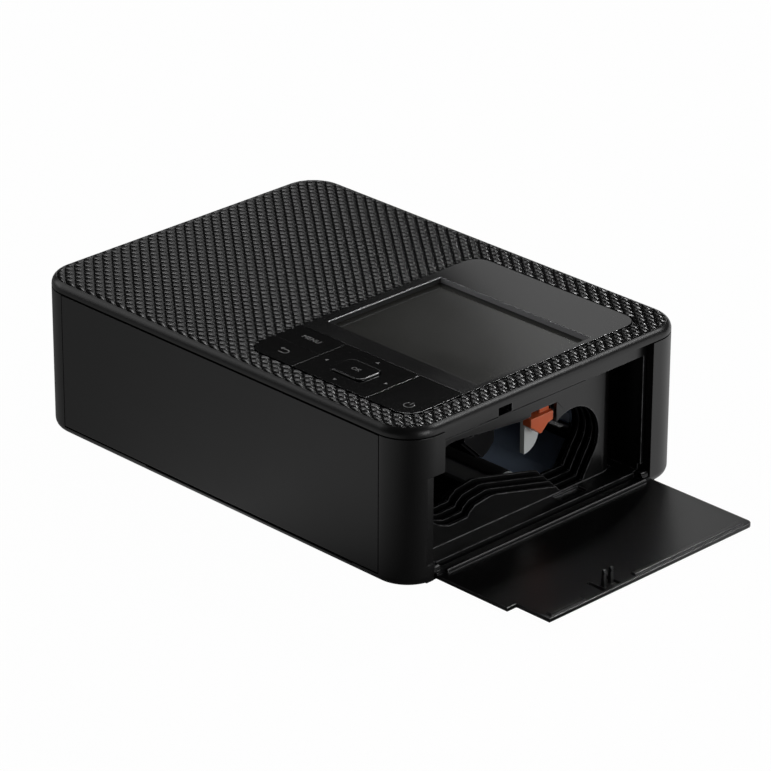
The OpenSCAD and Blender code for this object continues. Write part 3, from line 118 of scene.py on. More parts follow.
def deselect() -> None:
    """Leaves edit mode and deselects every object."""
    if bpy.context.object and bpy.context.object.mode != "OBJECT":
        bpy.ops.object.mode_set(mode="OBJECT")
    bpy.ops.object.select_all(action="DESELECT")


def take(obj: bpy.types.Object) -> bpy.types.Object:
    """Selects one object alone and makes it active.

    Args:
        obj: The object to work on.

    Returns:
        The same object.
    """
    deselect()
    obj.select_set(True)
    bpy.context.view_layer.objects.active = obj
    return obj


def settle(obj: bpy.types.Object, name: str) -> bpy.types.Object:
    """Applies an object's place, turn and scale to its mesh and names it.

    Args:
        obj: The object.
        name: Its new name.

    Returns:
        The same object.
    """
    take(obj)
    bpy.ops.object.transform_apply(location=True, rotation=True, scale=True)
    obj.name = name
    obj.data.name = name
    return obj


def in_edit(obj: bpy.types.Object, work: Callable[[], object], everything: bool = True) -> None:
    """Runs some mesh operators on an object in edit mode.

    Args:
        obj: The object.
        work: The operators.
        everything: Whether all of the mesh is selected first.
    """
    take(obj)
    bpy.ops.object.mode_set(mode="EDIT")
    if everything:
        bpy.ops.mesh.select_all(action="SELECT")
    work()
    bpy.ops.object.mode_set(mode="OBJECT")


def use(obj: bpy.types.Object, kind: str, **settings: object) -> bpy.types.Object:
    """Adds a modifier with these settings and applies it.

    Args:
        obj: The object.
        kind: The modifier's type.
        settings: Its settings.

    Returns:
        The same object.
    """
    take(obj)
    mod = obj.modifiers.new(kind, kind)
    for key, value in settings.items():
        setattr(mod, key, value)
    bpy.ops.object.modifier_apply(modifier=mod.name)
    return obj


def bevel(obj: bpy.types.Object, width: float, segments: int = 2, slot: int = -1,
          clamp: bool = True) -> bpy.types.Object:
    """Rounds the sharp edges of an object.

    Args:
        obj: The object.
        width: The bevel's width in mm.
        segments: How many steps it has.
        slot: The material slot of the rounded edges, or -1 for that of their faces.
        clamp: Whether the width is held back where edges would meet.

    Returns:
        The same object.
    """
    return use(obj, "BEVEL", width=width * MM, segments=segments, limit_method="ANGLE", material=slot,
               angle_limit=math.radians(BEVEL_ANGLE), use_clamp_overlap=clamp, miter_outer="MITER_ARC")


def smooth(obj: bpy.types.Object) -> bpy.types.Object:
    """Shades an object smooth, with its flat faces kept flat.

    Args:
        obj: The object.

    Returns:
        The same object.
    """
    take(obj)
    bpy.ops.object.shade_smooth_by_angle(angle=math.radians(SMOOTH_ANGLE))
    return use(obj, "WEIGHTED_NORMAL", keep_sharp=True, weight=80)


def join(parts: Sequence[bpy.types.Object], name: str) -> bpy.types.Object:
    """Joins several objects to one.

    Args:
        parts: The objects.
        name: The name of the result.

    Returns:
        The joined object.
    """
    deselect()
    for part in parts:
        part.select_set(True)
    bpy.context.view_layer.objects.active = parts[0]
    if len(parts) > 1:
        bpy.ops.object.join()
    parts[0].name = name
    parts[0].data.name = name
    return parts[0]


def slab(name: str, low: Point, high: Point, edge: float, segments: int = 2) -> bpy.types.Object:
    """Makes a bevelled bar between two corners, in mm.

    Args:
        name: The name.
        low: The lowest corner.
        high: The highest corner.
        edge: The width of its bevel, or 0 for sharp edges.
        segments: The steps of the bevel.

    Returns:
        The object.
    """
    deselect()
    a, b = Vector(low) * MM, Vector(high) * MM
    bpy.ops.mesh.primitive_cube_add(size=1, location=(a + b) / 2)
    obj = bpy.context.object
    obj.scale = b - a
    settle(obj, name)
    return smooth(bevel(obj, edge, segments)) if edge else obj


def drawn(name: str, outline: Sequence[Pair], depth: float, spot: Point) -> bpy.types.Object:
    """Pushes a flat outline up to a thin plate.

    Args:
        name: The name.
        outline: The corners in mm, counter-clockwise.
        depth: The plate's thickness.
        spot: Where the outline's origin lies, in mm.

    Returns:
        The object.
    """
    deselect()
    bpy.ops.mesh.primitive_plane_add(size=MM)
    obj = bpy.context.object
    obj.data.clear_geometry()
    obj.data.from_pydata([(x, y, 0) for x, y in outline], [], [tuple(range(len(outline)))])

    def raise_it() -> None:
        """Extrudes the outline upwards."""
        bpy.ops.mesh.extrude_region_move(TRANSFORM_OT_translate={"value": (0, 0, depth)})
        bpy.ops.mesh.select_all(action="SELECT")
        bpy.ops.mesh.normals_make_consistent(inside=False)

    in_edit(obj, raise_it)
    obj.data.transform(Matrix.Scale(MM, 4) @ Matrix.Translation(spot))
    return smooth(settle(obj, name))


def lettering(name: str, words: str, height: float, middle: Point, depth: float) -> bpy.types.Object:
    """Makes printed words that lie on a face turned up.

    Args:
        name: The name.
        words: The words.
        height: The height of a capital, in mm.
        middle: The middle of the words, in mm.
        depth: How thick the print is.

    Returns:
        The object.
    """
    deselect()
    bpy.ops.object.text_add()
    obj = bpy.context.object
    obj.data.body = words
    obj.data.align_x = "CENTER"
    obj.data.align_y = "CENTER"
    obj.data.size = height / CAP_SHARE * MM
    obj.data.space_character = LETTER_SPACE
    obj.data.extrude = depth / 2 * MM
    obj.data.resolution_u = 4
    take(obj)
    bpy.ops.object.convert(target="MESH")
    obj = bpy.context.object
    obj.location = Vector(middle) * MM
    return settle(obj, name)


def arc(radius: float, start: float, end: float, count: int, middle: Pair = (0, 0)) -> list[Pair]:
    """Returns points on an arc, its ends given in degrees."""
    turns = [math.radians(start + (end - start) * i / count) for i in range(count + 1)]
    return [(middle[0] + radius * math.cos(a), middle[1] + radius * math.sin(a)) for a in turns]


def stroke(points: Sequence[Pair], width: float) -> list[Pair]:
    """Returns the outline of a line of one width through flat points.

    Args:
        points: The points of the line.
        width: Its width.

    Returns:
        The corners of the outline, counter-clockwise.
    """
    left, right = [], []
    for i, p in enumerate(points):
        a = Vector(points[max(i - 1, 0)])
        b = Vector(points[min(i + 1, len(points) - 1)])
        way = (b - a).normalized()
        side = Vector((-way.y, way.x)) * width / 2
        left.append(tuple(Vector(p) + side))
        right.append(tuple(Vector(p) - side))
    return right + left[::-1]


# Shader groups


def opaque(colour: Iterable[float]) -> tuple[float, float, float, float]:
    """Returns a colour with full alpha."""
    return (*colour, 1.0)


@dataclass
class Nodes:
    """A small helper that adds and feeds shader nodes in one tree."""

    tree: bpy.types.NodeTree

    def wire(self, node: bpy.types.Node, inputs: dict[str | int, Feed]) -> bpy.types.Node:
        """Feeds a node's inputs.

        Args:
            node: The node.
            inputs: What each input gets: an output of another node, or a plain value.

        Returns:
            The node.
        """
        for key, value in inputs.items():
            if isinstance(value, Socket):
                self.tree.links.new(value, node.inputs[key])
            else:
                node.inputs[key].default_value = value
        return node

    def add(self, kind: str, inputs: dict[str | int, Feed] | None = None, **values: object) -> bpy.types.Node:
        """Adds a node.

        Args:
            kind: The node's type without its ShaderNode prefix.
            inputs: What its inputs get.
            values: Its properties.

        Returns:
            The node.
        """
        node = self.tree.nodes.new(kind if kind.startswith("Node") else "ShaderNode" + kind)
        for key, value in values.items():
            setattr(node, key, value)
        return self.wire(node, inputs or {})

    def group(self, name: str, inputs: dict[str | int, Feed]) -> bpy.types.Node:
        """Places one of the shader groups with these inputs and returns its node."""
        return self.add("Group", inputs, node_tree=bpy.data.node_groups[name])

    def math(self, operation: str, a: Feed, b: Feed, clamp: bool = False) -> Socket:
        """Adds a Math node on two sockets or numbers and returns its output."""
        return self.add("Math", {0: a, 1: b}, operation=operation, use_clamp=clamp).outputs[0]

    def ramp(self, source: Socket, low: Pair, high: Pair) -> Socket:
        """Maps a value from the span low[0]..high[0] to low[1]..high[1] and returns the output."""
        spans = {1: low[0], 2: high[0], 3: low[1], 4: high[1]}
        return self.add("MapRange", {0: source, **spans}, clamp=True).outputs[0]

    def mix(self, mask: Socket, low: Feed, high: Feed) -> Socket:
        """Mixes two colours by a mask and returns the mixed one."""
        return self.add("Mix", {"Factor": mask, "A": low, "B": high}, data_type="RGBA").outputs["Result"]


def new_group(name: str, inputs: dict[str, float | None],
              outputs: Sequence[str]) -> tuple[Nodes, object, bpy.types.Node]:
    """Makes a shader group with named inputs and outputs.

    Args:
        name: The group's name.
        inputs: The default of each input, or None for a vector.
        outputs: The names of its outputs, all plain numbers.

    Returns:
        The group's helper, the outputs of its input node, and its output node.
    """
    tree = bpy.data.node_groups.new(name, "ShaderNodeTree")
    for key, value in inputs.items():
        kind = "NodeSocketVector" if value is None else "NodeSocketFloat"
        made = tree.interface.new_socket(key, in_out="INPUT", socket_type=kind)
        if value is not None:
            made.default_value = value
    for key in outputs:
        tree.interface.new_socket(key, in_out="OUTPUT", socket_type="NodeSocketFloat")
    n = Nodes(tree)
    return n, n.add("NodeGroupInput").outputs, n.add("NodeGroupOutput")


def grain_group() -> None:
    """Builds the moulded grain: a fine pebbled height, and a slow cloud that varies the sheen."""
    n, inn, out = new_group("moulded_grain", {"Vector": None, "Scale": 2600.0}, ("Height", "Cloud"))
    pebble_size, fine_share, pebble_share = 0.6, 0.6, 0.5
    where, scale = inn["Vector"], inn["Scale"]
    fine = n.add("TexNoise", {"Vector": where, "Scale": scale, "Detail": 3, "Roughness": 0.6})
    coarse = n.math("MULTIPLY", scale, pebble_size)
    pebble = n.add("TexVoronoi", {"Vector": where, "Scale": coarse, "Smoothness": 0.6}, feature="SMOOTH_F1")
    fine_part = n.math("MULTIPLY", fine.outputs[0], fine_share)
    pebble_part = n.math("MULTIPLY", pebble.outputs["Distance"], pebble_share)
    cloud = n.add("TexNoise", {"Vector": where, "Scale": 22, "Detail": 4})
    n.wire(out, {"Height": n.math("ADD", fine_part, pebble_part),
                 "Cloud": n.ramp(cloud.outputs[0], (0.3, 0.0), (0.7, 1.0))})


def wear_and_highlight_group() -> None:
    """Builds the mask of lighter edges, partly from use and partly a painted highlight: a broken mask, and a
    weak one of wiped dust.
    """
    n, inn, out = new_group("edge_wear_and_highlight", {"Vector": None, "Reach": 0.5}, ("Edge", "Dust"))
    breaks = n.add("TexNoise", {"Vector": inn["Vector"], "Scale": 260, "Detail": 5})
    patchy = n.ramp(breaks.outputs[0], (0.36, 0.25), (0.6, 1.0))
    specks = n.add("TexVoronoi", {"Vector": inn["Vector"], "Scale": 700})
    n.wire(out, {"Edge": n.math("MULTIPLY", patchy, inn["Reach"], True),
                 "Dust": n.ramp(specks.outputs["Distance"], (0.02, 1.0), (0.06, 0.0))})


def drawn_group() -> None:
    """Builds the drawn metal: long fine lines along one axis, and a slow stain."""
    n, inn, out = new_group("drawn_metal", {"Vector": None, "Stretch": None}, ("Lines", "Stain"))
    squeezed = n.add("VectorMath", {0: inn["Vector"], 1: inn["Stretch"]}, operation="MULTIPLY")
    lines = n.add("TexNoise", {"Vector": squeezed.outputs[0], "Scale": 1, "Detail": 4})
    stain = n.add("TexNoise", {"Vector": inn["Vector"], "Scale": 90, "Detail": 3})
    n.wire(out, {"Lines": lines.outputs[0], "Stain": n.ramp(stain.outputs[0], (0.35, 0.0), (0.7, 1.0))})


# Finishes

# How much darker the cloud's dark parts are, how wear and dust change roughness, and the bump's strength
CLOUD_SHADE = 0.86
WORN_SHINE = 0.12
DUST_HAZE = 0.08
BUMP_STRENGTH = 0.5

# A rubbed edge's share of the roughness, and its grain in mm
RUBBED_ROUGH = 0.8
RUBBED_GRAIN = 0.002


class Lines(Enum):
    """How the fine lines of a metal run: how much the noise is squeezed along X, Y and Z."""

    ALONG_X = (60, 3000, 3000)
    ALONG_Z = (3000, 3000, 60)
    ROLLED = (60, 1800, 1800)
    TURNED = (3000, 900, 900)


@dataclass(frozen=True)
class Finish:
    """A moulded, painted or drawn finish: its colour, sheen and texture, and how its edges shine: smoother from
    use, and lighter in colour, partly from use and partly a painted highlight.

    The four numbers after the colour are the roughness, its variation, and the grain's depth in mm and scale.
    """

    name: str
    colour: Point
    rough: float
    spread: float
    grain: float
    scale: float = 0.0
    wear_and_highlight: float = 0.0
    # The edge colour, mostly lighter than the body: partly from use, partly a painted highlight
    worn_and_highlight: Point = (0.1, 0.1, 0.1)
    metal: float = 0.0
    specular: float = 0.5
    slot: str = ""
    lines: Lines | None = None
    # How far the lighter edge colour reaches on rounded edges: partly from use, partly a painted highlight
    edge_wear_and_highlight: float = 0.7

    def build(self) -> bpy.types.Material:
        """Builds the material, once.

        Returns:
            The material.
        """
        made = bpy.data.materials.get(self.name)
        if made:
            return made
        material = bpy.data.materials.new(self.name)
        material.use_nodes = True
        n = Nodes(material.node_tree)
        where = n.add("TexCoord").outputs["Object"]
        wear_and_highlight = n.group("edge_wear_and_highlight", {"Vector": where, "Reach": self.wear_and_highlight})
        height, cloud = self.texture(n, where)
        colour, rough = self.paint(n, cloud, wear_and_highlight)
        bump = n.add("Bump", {"Strength": BUMP_STRENGTH, "Distance": self.grain * MM, "Height": height})
        n.wire(material.node_tree.nodes["Principled BSDF"],
               {"Metallic": self.metal, "Specular IOR Level": self.specular, "Base Color": colour,
                "Roughness": rough, "Normal": bump.outputs[0]})
        return material

    def texture(self, n: Nodes, where: Socket) -> tuple[Socket, Socket]:
        """Places the moulded grain or the drawn lines.

        Args:
            n: The material's nodes.
            where: The place on the piece.

        Returns:
            The height and the slow variation.
        """
        if self.lines:
            base = n.group("drawn_metal", {"Vector": where, "Stretch": self.lines.value})
            return base.outputs["Lines"], base.outputs["Stain"]
        base = n.group("moulded_grain", {"Vector": where, "Scale": self.scale})
        return base.outputs["Height"], base.outputs["Cloud"]

    def paint(self, n: Nodes, cloud: Socket, wear_and_highlight: bpy.types.Node) -> tuple[Socket, Socket]:
        """Varies colour and roughness by the cloud, and lightens the edges where the edge mask reaches: partly
        from use, partly a painted highlight.

        Args:
            n: The material's nodes.
            cloud: The slow variation.
            wear_and_highlight: The edge mask group's node.

        Returns:
            The colour and the roughness.
        """
        ground = n.mix(cloud, opaque(c * CLOUD_SHADE for c in self.colour), opaque(self.colour))
        # Lighter colour on the edges: partly from use, partly a painted highlight
        colour = n.mix(wear_and_highlight.outputs["Edge"], ground, opaque(self.worn_and_highlight))
        rough = n.ramp(cloud, (0.0, self.rough - self.spread), (1.0, self.rough + self.spread))
        shine = n.math("MULTIPLY", wear_and_highlight.outputs["Edge"], WORN_SHINE)
        haze = n.math("MULTIPLY", wear_and_highlight.outputs["Dust"], DUST_HAZE)
        return colour, n.math("ADD", n.math("SUBTRACT", rough, shine), haze, True)

    def rubbed_and_highlit(self) -> "Finish":
        """Returns this finish as it is on a rounded edge: smoother, and lighter in colour, partly from use and
        partly a painted highlight, broken by a patchy mask.
        """
        return replace(self, name=self.name + "_edge", wear_and_highlight=self.edge_wear_and_highlight,
                       rough=self.rough * RUBBED_ROUGH, grain=RUBBED_GRAIN)

    def dress(self, obj: bpy.types.Object) -> bpy.types.Object:
        """Gives an object this finish, and the edge finish with its painted highlight in its second slot if it
        has one.

        Args:
            obj: The object.

        Returns:
            The same object.
        """
        if not obj.material_slots:
            obj.data.materials.append(self.build())
        for i, s in enumerate(obj.material_slots):
            s.link = "OBJECT" if obj.get("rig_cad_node") else "DATA"
            s.material = self.rubbed_and_highlit().build() if i == 1 else self.build()
        return obj


def tone(value: float, blue: float = 1.03) -> tuple[float, float, float]:
    """Returns a neutral colour with a little blue."""
    return (value, value, value * blue)


# Each finish's edge colour is mostly lighter than its body: partly from use, partly a painted highlight
SHELL = Finish("satin_shell", tone(0.0045), 0.4, 0.03, 0.006, 3200, worn_and_highlight=tone(0.02), slot="case")
WEAVE = Finish("woven_top", tone(0.004), 0.25, 0.03, 0.003, 3600, specular=0.28, slot="cover")
COVER = Finish("satin_cover", tone(0.0045), 0.34, 0.03, 0.005, 3200, worn_and_highlight=tone(0.02), slot="cover")
# The bay and guide edges get the full edge mask and a much lighter edge colour: painted highlights along the
# rib edges, partly from use
INNER = Finish("bay_plastic", tone(0.0035), 0.3, 0.04, 0.006, 2800, worn_and_highlight=tone(0.12), slot="inner",
               edge_wear_and_highlight=1.0)
DOOR = Finish("door_plastic", tone(0.002), 0.3, 0.03, 0.005, 3400, worn_and_highlight=tone(0.06), specular=0.36,
              slot="inner")
GUIDE = Finish("guide_plastic", tone(0.002), 0.34, 0.04, 0.006, 2800, worn_and_highlight=tone(0.12), specular=0.25,
               slot="inner", edge_wear_and_highlight=1.0)
ROD = Finish("blackened_rod", tone(0.02), 0.34, 0.05, 0.004, metal=0.7, slot="steel", lines=Lines.ALONG_X)
GLOSS = Finish("gloss_panel", tone(0.003), 0.12, 0.02, 0.001, 900, worn_and_highlight=tone(0.05), slot="gloss")
KEYS = Finish("gloss_keys", tone(0.002), 0.08, 0.01, 0.001, 1200, worn_and_highlight=tone(0.05), slot="gloss")
SCREEN = Finish("dark_screen", (0.014, 0.014, 0.011), 0.14, 0.02, 0.001, 900, slot="screen")
SURROUND = Finish("screen_surround", tone(0.018), 0.5, 0.03, 0.006, 3000, slot="gloss")
# The back wall's lining: the left lining's finish made far lighter, painted light standing in for light on that
# wall
PAINTED_LIGHT_LINING = Finish("lining_painted_light", tone(0.42), 0.5, 0.03, 0.006, 3000, slot="gloss")
RIM = Finish("polished_rim", tone(0.28), 0.3, 0.0, 0.0, 1200, metal=0.9, slot="gloss")
PRINT = Finish("grey_print", tone(0.16, 1.0), 0.45, 0.03, 0.002, 2600, slot="gloss")
RUBBER = Finish("black_rubber", tone(0.012), 0.7, 0.05, 0.03, 1800, worn_and_highlight=tone(0.05), slot="rubber")
STEEL = Finish("drawn_steel", (0.4, 0.41, 0.42), 0.3, 0.06, 0.004, metal=1.0, slot="steel",
               lines=Lines.ALONG_X)
DARK_STEEL = Finish("black_steel", tone(0.05), 0.4, 0.06, 0.004, metal=0.9, slot="dark_steel",
                    lines=Lines.ALONG_Z)
HEAD = Finish("cast_head", (0.004, 0.004, 0.005), 0.42, 0.05, 0.01, 2200, worn_and_highlight=tone(0.06), specular=0.25,
              slot="head_metal")
SHEET = Finish("coated_sheet", (0.34, 0.43, 0.58), 0.34, 0.01, 0.003, metal=0.1, slot="guide_sheet",
               lines=Lines.ROLLED)
NYLON = Finish("white_plastic", (0.72, 0.75, 0.74), 0.42, 0.05, 0.01, 2400, worn_and_highlight=tone(0.7), slot="nylon")
ORANGE = Finish("orange_lever", (0.75, 0.14, 0.045), 0.42, 0.05, 0.01, 2400, worn_and_highlight=(0.7, 0.2, 0.09),
                slot="orange")
BOARD = Finish("green_board", (0.012, 0.075, 0.035), 0.35, 0.06, 0.01, 1500, slot="board")
BRASS = Finish("turned_brass", (0.6, 0.44, 0.17), 0.28, 0.05, 0.004, metal=1.0, slot="brass",
               lines=Lines.TURNED)

SLOT_FINISH = {f.slot: f for f in (SHELL, COVER, INNER, GLOSS, SCREEN, RUBBER, STEEL, DARK_STEEL, HEAD,
                                   SHEET, NYLON, ORANGE, BOARD, BRASS)}
NODE_FINISH = {"ribbon_shelf": GUIDE, "print_head": HEAD, "platen_shaft": ROD, "capstan_roller": ROD,
               "pickup_shaft": ROD}


@dataclass
class Workshop:
    """Keeps the loaded frame, copies its nodes and hands finished pieces over to their bodies."""

    frame: dict
    made: list[str] = field(default_factory=list)

    @staticmethod
    def span(name: str) -> tuple[Vector, Vector]:
        """Returns a CAD node's lowest and highest corner in mm."""
        low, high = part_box(name)
        return low / MM, high / MM

    def copy(self, node: str, name: str, flat: float = 0.4) -> bpy.types.Object:
        """Makes a merged copy of a CAD node's mesh, with its flat faces joined.

        Args:
            node: The node.
            name: The copy's name.
            flat: Faces that turn by less than this, in degrees, are joined.

        Returns:
            The copy.
        """
        deselect()
        obj = bpy.data.objects.new(name, self.frame["nodes"][node].data.copy())
        bpy.context.scene.collection.objects.link(obj)
        obj.data.name = name
        obj.data.materials.clear()
        take(obj)
        if obj.data.has_custom_normals:
            bpy.ops.mesh.customdata_custom_splitnormals_clear()

        def clean() -> None:
            """Merges doubles and joins flat faces."""
            bpy.ops.mesh.remove_doubles(threshold=2e-6)
            bpy.ops.mesh.dissolve_limited(angle_limit=math.radians(flat), use_dissolve_boundaries=False)
            bpy.ops.mesh.quads_convert_to_tris(quad_method="BEAUTY", ngon_method="BEAUTY")

        in_edit(obj, clean)
        return obj

    def hand_over(self, obj: bpy.types.Object, body: str, finish: Finish, *nodes: str) -> bpy.types.Object:
        """Dresses a piece, rides it on a body and hides the CAD nodes that it stands for.

        Args:
            obj: The piece.
            body: The body that it moves with.
            finish: Its finish.
            nodes: The CAD nodes that it replaces.

        Returns:
            The piece.
        """
        finish.dress(obj)
        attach(obj, body)
        if nodes:
            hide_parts(*nodes)
        self.made.append(obj.name)
        log.info("%s on %s, %d faces", obj.name, body, len(obj.data.polygons))
        return obj

    def body_of(self, node: str) -> str:
        """Returns the name of the body that a CAD node rides on."""
        bodies = self.frame["record"]["behaviour"]["bodies"]
        return next(body for body, nodes in bodies.items() if node in nodes)

    def refined(self, node: str, finish: Finish, edge: float, grooves: Sequence[Box] = ()) -> None:
        """Puts a copy with rounded edges in a CAD node's place.

        Args:
            node: The node.
            finish: The finish.
            edge: The bevel's width in mm.
            grooves: The lowest and highest corner of each groove that is cut into it.
        """
        obj = self.copy(node, node + "_shell")
        for low, high in grooves:
            self.carve(obj, low, high)
        # The rounded edges take the second slot: the edge finish, lighter in colour, partly from use and partly
        # a painted highlight
        for material in (finish, finish.rubbed_and_highlit()):
            obj.data.materials.append(material.build())
        smooth(bevel(obj, edge, slot=1, clamp=False))
        self.hand_over(obj, self.body_of(node), finish, node)

    @staticmethod
    def carve(obj: bpy.types.Object, low: Point, high: Point) -> None:
        """Cuts a straight groove into an object.

        Args:
            obj: The object.
            low: The groove's lowest corner in mm.
            high: Its highest corner.
        """
        tool = slab("groove_tool", low, high, 0)
        use(obj, "BOOLEAN", operation="DIFFERENCE", object=tool, solver="EXACT")
        bpy.data.objects.remove(tool)

    def dress_nodes(self) -> None:
        """Gives every CAD node that stays its finish."""
        slots = {s["node"]: s["material_slot"] for s in self.frame["record"]["subparts"]}
        for name, obj in self.frame["nodes"].items():
            finish = NODE_FINISH.get(name) or SLOT_FINISH[slots[name]]
            finish.dress(obj)


def area_light(name: str, size: Pair, level: float, place: Matrix, cone: float = 180) -> None:
    """Hangs an area light that the camera doesn't see.

    Args:
        name: The name.
        size: Its width and height in metres.
        level: How bright its face is, where 1 is white.
        place: The matrix that puts it in the scene, facing along its own -Z.
        cone: The angle that its grid lets through, in degrees.
    """
    data = bpy.data.lights.new(name, "AREA")
    data.shape = "RECTANGLE"
    data.size, data.size_y = size
    data.spread = math.radians(cone)
    data.energy = level * math.pi * size[0] * size[1]
    obj = bpy.data.objects.new(name, data)
    obj.matrix_world = place
    obj.visible_camera = False
    bpy.context.scene.collection.objects.link(obj)


@dataclass(frozen=True)
class Lamp:
    """A soft lamp: where it hangs, the point that it faces, its size, its level and its cone."""

    name: str
    place: Point
    aim: Point
    size: Pair
    level: float
    cone: float = 180

    def hang(self) -> None:
        """Hangs the lamp, turned to its aim."""
        turn = (Vector(self.aim) - Vector(self.place)).to_track_quat("-Z", "Y").to_matrix().to_4x4()
        area_light(self.name, self.size, self.level, Matrix.Translation(self.place) @ turn, self.cone)


@dataclass
class Studio:
    """The camera, the pale floor with its painted reflection, and the soft lights.

    The camera's angles are in degrees. Its shift and distance, and its lens, are in mm.
    """

    azimuth: float = 45.352
    elevation: float = 24.897
    roll: float = 0.239
    shift: Pair = (9.56, 21.23)
    distance: float = 1502.7
    lens: float = 202.68
    glow_size: Pair = (0.22, 0.7)
    glow_level: float = 0.62
    glow_edge: float = 0.046
    glow_distance: float = 1.2
    glow_slant: float = 0.6
    world_light: float = 0.12
    world_gloss: float = 0.025
    floor_size: float = 14
    floor_tone: float = 0.7
    floor_rough: float = 0.9
    floor_glow: float = 0.985
    # Painted reflection: light and dark tones that glossy rays see on the floor round the object, standing in
    # for lit floor and shadow
    painted_reflection_tones: tuple[Pair, ...] = ((0.0, 0.2), (0.11, 0.25), (0.2, 0.4), (0.26, 0.5), (0.33, 0.3),
                                     (0.39, 0.03), (0.46, 0.1), (0.54, 0.8), (0.62, 0.9), (0.75, 0.7),
                                     (1.0, 0.2))
    lamps: tuple[Lamp, ...] = (
        Lamp("rim", (0.68, 0.98, 1.0), (0, 0, 0.04), (0.3, 0.3), 11),
        Lamp("crest", (0.12, 0.96, 1.17), (0, 0, 0.04), (0.4, 0.4), 5),
        Lamp("teeth", (-0.83, 0.83, 0.98), (0, 0, 0.05), (0.3, 0.3), 6.3),
        Lamp("strip", (-0.3, 0.95, 1.1), (0.115, -0.01, 0.055), (0.2, 0.2), 0.17, 9),
        Lamp("side", (1.3, 0.1, 0.35), (0.05, 0, 0.03), (0.55, 0.55), 4),
        Lamp("front", (-1.0, -0.55, 0.62), (0, -0.4, 0.4), (0.8, 0.9), 1.4),
        Lamp("back", (1.35, 1.1, 0.22), (0, 0, 0.04), (0.9, 0.3), 1.0),
    )

    def axes(self) -> tuple[Vector, Vector, Vector]:
        """Works out the camera's directions before its roll.

        Returns:
            The directions to its right, up and back.
        """
        az, el = math.radians(self.azimuth), math.radians(self.elevation)
        back = Vector((math.sin(az) * math.cos(el), -math.cos(az) * math.cos(el), math.sin(el)))
        right = Vector((math.cos(az), math.sin(az), 0))
        return right, back.cross(right), back

    def camera(self) -> None:
        """Sets the camera that takes the photograph's view."""
        right, up, back = self.axes()
        roll = math.radians(self.roll)
        across = right * math.cos(roll) + up * math.sin(roll)
        over = up * math.cos(roll) - right * math.sin(roll)
        spot = (across * self.shift[0] + over * self.shift[1] + back * self.distance) * MM
        data = bpy.data.cameras.new("view")
        data.lens = self.lens
        data.sensor_width = 36
        data.clip_start, data.clip_end = 0.05, 20
        camera = bpy.data.objects.new("view", data)
        turn = Matrix((across, over, back)).transposed().to_4x4()
        camera.matrix_world = Matrix.Translation(spot) @ turn
        bpy.context.scene.collection.objects.link(camera)
        bpy.context.scene.camera = camera

    def painted_reflection_ring(self, n: Nodes) -> Socket:
        """Adds the painted reflection round the object: a ring of light and dark tones that only glossy rays
        see, standing in for lit floor and its shadow.

        Args:
            n: The floor material's nodes.

        Returns:
            The ring's colour.
        """
        where = n.add("TexCoord").outputs["Object"]
        ring = n.add("TexGradient", {0: where}, gradient_type="RADIAL")
        ramp = n.add("ValToRGB", {0: ring.outputs[1]})
        stops = ramp.color_ramp.elements
        for place, _ in self.painted_reflection_tones[1:-1]:
            stops.new(place)
        for stop, (place, level) in zip(stops, self.painted_reflection_tones):
            stop.position = place
            stop.color = opaque([level] * 3)
        return ramp.outputs[0]

    def floor(self, height: float) -> None:
        """Lays a pale floor that the camera sees as white, that keeps the object's shadow, and that glossy rays
        see as a painted reflection of light and dark tones.

        Args:
            height: Its height in metres.
        """
        deselect()
        bpy.ops.mesh.primitive_plane_add(size=self.floor_size, location=(0, 0, height))
        obj = settle(bpy.context.object, "floor")
        material = bpy.data.materials.new("pale_floor")
        material.use_nodes = True
        n = Nodes(material.node_tree)
        paint = n.wire(material.node_tree.nodes["Principled BSDF"],
                       {"Base Color": opaque([self.floor_tone] * 3), "Roughness": self.floor_rough,
                        "Specular IOR Level": 0.0})
        rays = n.add("LightPath").outputs
        by_eye = rays["Is Camera Ray"]
        by_gloss = n.math("MAXIMUM", rays["Is Glossy Ray"], rays["Is Transmission Ray"])
        share = n.math("MULTIPLY", n.math("MAXIMUM", by_eye, by_gloss), self.floor_glow)
        # The camera sees plain white; glossy rays see the painted reflection ring
        glow = n.add("Emission", {"Color": n.mix(by_eye, self.painted_reflection_ring(n), WHITE)})
        surface = n.add("MixShader", {0: share, 1: paint.outputs[0], 2: glow.outputs[0]})
        n.wire(material.node_tree.nodes["Material Output"], {"Surface": surface.outputs[0]})
        obj.data.materials.append(material)
        obj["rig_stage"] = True

    def world(self) -> None:
        """Sets the surroundings: white for the camera, dim as light and dimmer in gloss."""
        world = bpy.data.worlds.new("studio")
        world.use_nodes = True
        n = Nodes(world.node_tree)
        rays = n.add("LightPath").outputs
        in_gloss = n.math("MULTIPLY", rays["Is Glossy Ray"], self.world_gloss - self.world_light)
        by_eye = n.math("MULTIPLY", rays["Is Camera Ray"], 1 - self.world_light)
        total = n.math("ADD", n.math("ADD", in_gloss, by_eye), self.world_light)
        n.wire(world.node_tree.nodes["Background"], {"Color": WHITE, "Strength": total})
        bpy.context.scene.world = world

    def panel_glow(self) -> None:
        """Hangs the soft box that the top mirrors to the camera, its soft edge across the display panel."""
        right, _, back = self.axes()
        away = Vector((-back.x, -back.y, back.z))
        across = (right + away.cross(right) * self.glow_slant).normalized()
        edge = right * self.glow_edge + away * self.glow_distance
        middle = edge + across * self.glow_size[0] / 2
        turn = Matrix((across, away.cross(across), away)).transposed().to_4x4()
        area_light("panel_glow", self.glow_size, self.glow_level, Matrix.Translation(middle) @ turn)

    def build(self, height: float) -> None:
        """Builds the whole studio.

        Args:
            height: The floor's height in metres.
        """
        self.camera()
        self.floor(height)
        self.world()
        self.panel_glow()
        for lamp in self.lamps:
            lamp.hang()
        bpy.context.scene.view_settings.view_transform = "Standard"


